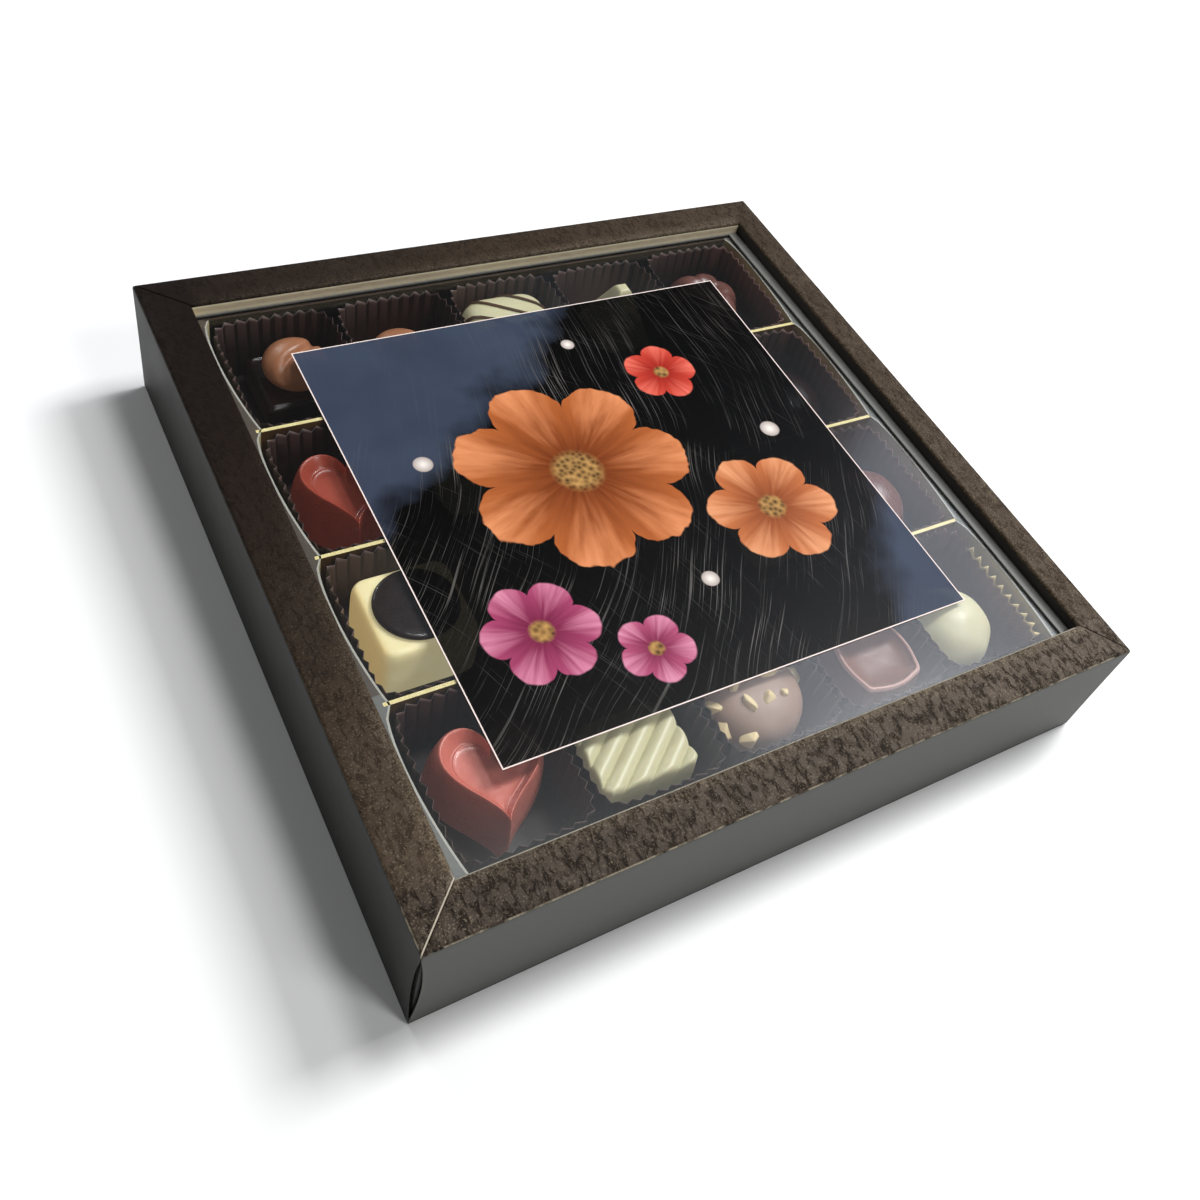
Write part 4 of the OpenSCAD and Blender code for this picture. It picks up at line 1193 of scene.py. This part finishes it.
# %% Pipe the stripes
OVAL_RINGS = [
    (0.93, 0), (0.985, 0.8), (1, 2.4), (1, 9), (0.98, 12.4), (0.93, 14.8), (0.84, 16.5),
    (0.7, 17.4), (0.5, 17.75), (0.25, 17.8)]
STRIPE_TURN = math.radians(-35)
STRIPES_AT = (-6.2, 0, 6.2)
STRIPE_HALF = 0.45
STRIPE_DROP = 7
STRIPE_RISE, STRIPE_THICK = 0.1, 0.35


def oval_points(length, width, end, count=14):
    """A rectangle whose corners are rounded by the radius end."""
    points = []
    for quarter, (sx, sy) in enumerate(CORNERS):
        x, y = sx * (length / 2 - end), sy * (width / 2 - end)
        points += arc(x, y, end, 90 * quarter, 90 * quarter + 90, count)
    return points


stripes = []
along = Vector((math.cos(STRIPE_TURN), math.sin(STRIPE_TURN), 0))
across = Vector((-along.y, along.x, 0))
for node, name in (("striped_oval_r1c3", "striped_oval_back"),
                   ("striped_oval_r3c4", "striped_oval_front")):
    form = seat(moulded(oval_points(27, 18, 6), OVAL_RINGS), node)
    low, high = extent(form.verts)
    middle = (low + high) / 2
    for offset in STRIPES_AT:
        slab = form.copy()
        for way in (-1, 1):
            side = middle + across * (offset + way * STRIPE_HALF)
            cut(slab, side, across * way, near=1e-4)
        cut(slab, (0, 0, high.z - STRIPE_DROP), (0, 0, -1), near=1e-4)
        for v in slab.verts:
            v.co += v.normal * STRIPE_RISE
        bmesh.ops.solidify(slab, geom=slab.faces, thickness=-STRIPE_THICK)
        stripes.append(slab)
    piece(form, name, "base", [WHITE], [node], sharp=180, rounds=1)
print("stripes:", len(stripes))
piece(joined(stripes), "piped_stripes", "base", [STRIPE], ["oval_stripes"], sharp=60)

# %% [markdown]
# ## Ribbed blocks
# Oblique ribs run over the block's top and die away at its edges. The top is a grid clipped at
# the corners, whose height is a wave and falls off near the rim. Its rim is then drawn down in
# rings to make the sides.

# %% Rib the blocks
BACK_CLIP, FRONT_CLIP = 4.0, 1.4
RIB_TURN = math.radians(40)
RIB_PITCH, RIB_DEPTH = 4.8, 1.7
EDGE_WIDTH = 1.1


def ribbed_block(node, name):
    low, high = [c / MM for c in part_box(node)]
    a, b, h = (high.x - low.x) / 2, (high.y - low.y) / 2, high.z - low.z
    form = bmesh.new()
    bmesh.ops.create_grid(form, x_segments=96, y_segments=80, size=1)
    bmesh.ops.scale(form, vec=(a, b, 1), verts=form.verts)
    clips = [(sx, sy, BACK_CLIP if sy > 0 else FRONT_CLIP) for sx in (-1, 1) for sy in (-1, 1)]
    for sx, sy, clip in clips:
        cut(form, (sx * (a - clip), sy * b, 0), (sx, sy, 0))
    for v in form.verts:
        x, y = v.co.x, v.co.y
        to_clips = [(a - clip - sx * x + b - sy * y) / math.sqrt(2) for sx, sy, clip in clips]
        ease = min(1, max(0, min(a - abs(x), b - abs(y), *to_clips) / EDGE_WIDTH))
        over_ribs = -x * math.sin(RIB_TURN) + y * math.cos(RIB_TURN)
        wave = abs(math.cos(math.pi * over_ribs / RIB_PITCH))
        round_off = 1 - math.sqrt(1 - (1 - ease) ** 2)
        v.co.z = h - (1 - wave ** 0.55) * RIB_DEPTH - round_off
    rim = [e for e in form.edges if e.is_boundary]
    # The rings of the sides: how far below the last one, and how much further out
    for drop, out in ((0.6, 0.08), (3, 0.3), (h - 6.2, 0.3), (10, -0.3)):
        made = bmesh.ops.extrude_edge_only(form, edges=rim)["geom"]
        for v in new_points(made):
            v.co.z = max(0, v.co.z - drop)
            v.co += Vector((v.co.x, v.co.y, 0)).normalized() * out
        rim = new_rim(made)
    for e in rim:
        for v in e.verts:
            v.co.z = 0
    close(form)
    return piece(seat(form, node), name, "base", [WHITE], [node], sharp=60)


for node, name in (("ribbed_block_r2c2", "ribbed_block_back"),
                   ("ribbed_block_r4c2", "ribbed_block_front")):
    print(name, "has", len(ribbed_block(node, name).data.polygons), "faces")

# %% [markdown]
# ## Chopped nuts
# Chopped nuts break into lumps with many flat faces, and handling rubs their edges. Each lump is
# the hull of a few scattered points, bevelled, in the place of its solid.

# %% Chop the nuts
NUT_POINTS = 13
NUT_REACH = (0.75, 1.1)
NUT_EDGE = 0.09
NUT_SWELL = 0.16


def nut_piece(low, high, index):
    """A broken lump of nut whose edges are rubbed round."""
    chance = random.Random(index)
    nut = bmesh.new()
    for _ in range(NUT_POINTS):
        way = Vector(chance.gauss(0, 1) for _ in range(3)).normalized()
        nut.verts.new(way * chance.uniform(*NUT_REACH))
    hull = bmesh.ops.convex_hull(nut, input=nut.verts)
    bmesh.ops.delete(nut, geom=hull["geom_interior"], context="VERTS")
    bmesh.ops.bevel(nut, geom=nut.edges, offset=NUT_EDGE, segments=2, profile=0.5,
                    affect="EDGES", material=-1)
    bmesh.ops.recalc_face_normals(nut, faces=nut.faces)
    grow = (high - low) * NUT_SWELL
    return fit(nut, low - grow, high + grow)


nuts = [nut_piece(*box, i) for i, box in enumerate(solid_boxes("chopped_nuts"))]
piece(joined(nuts), "nut_pieces", "base", [NUT], ["chopped_nuts"], sharp=35)
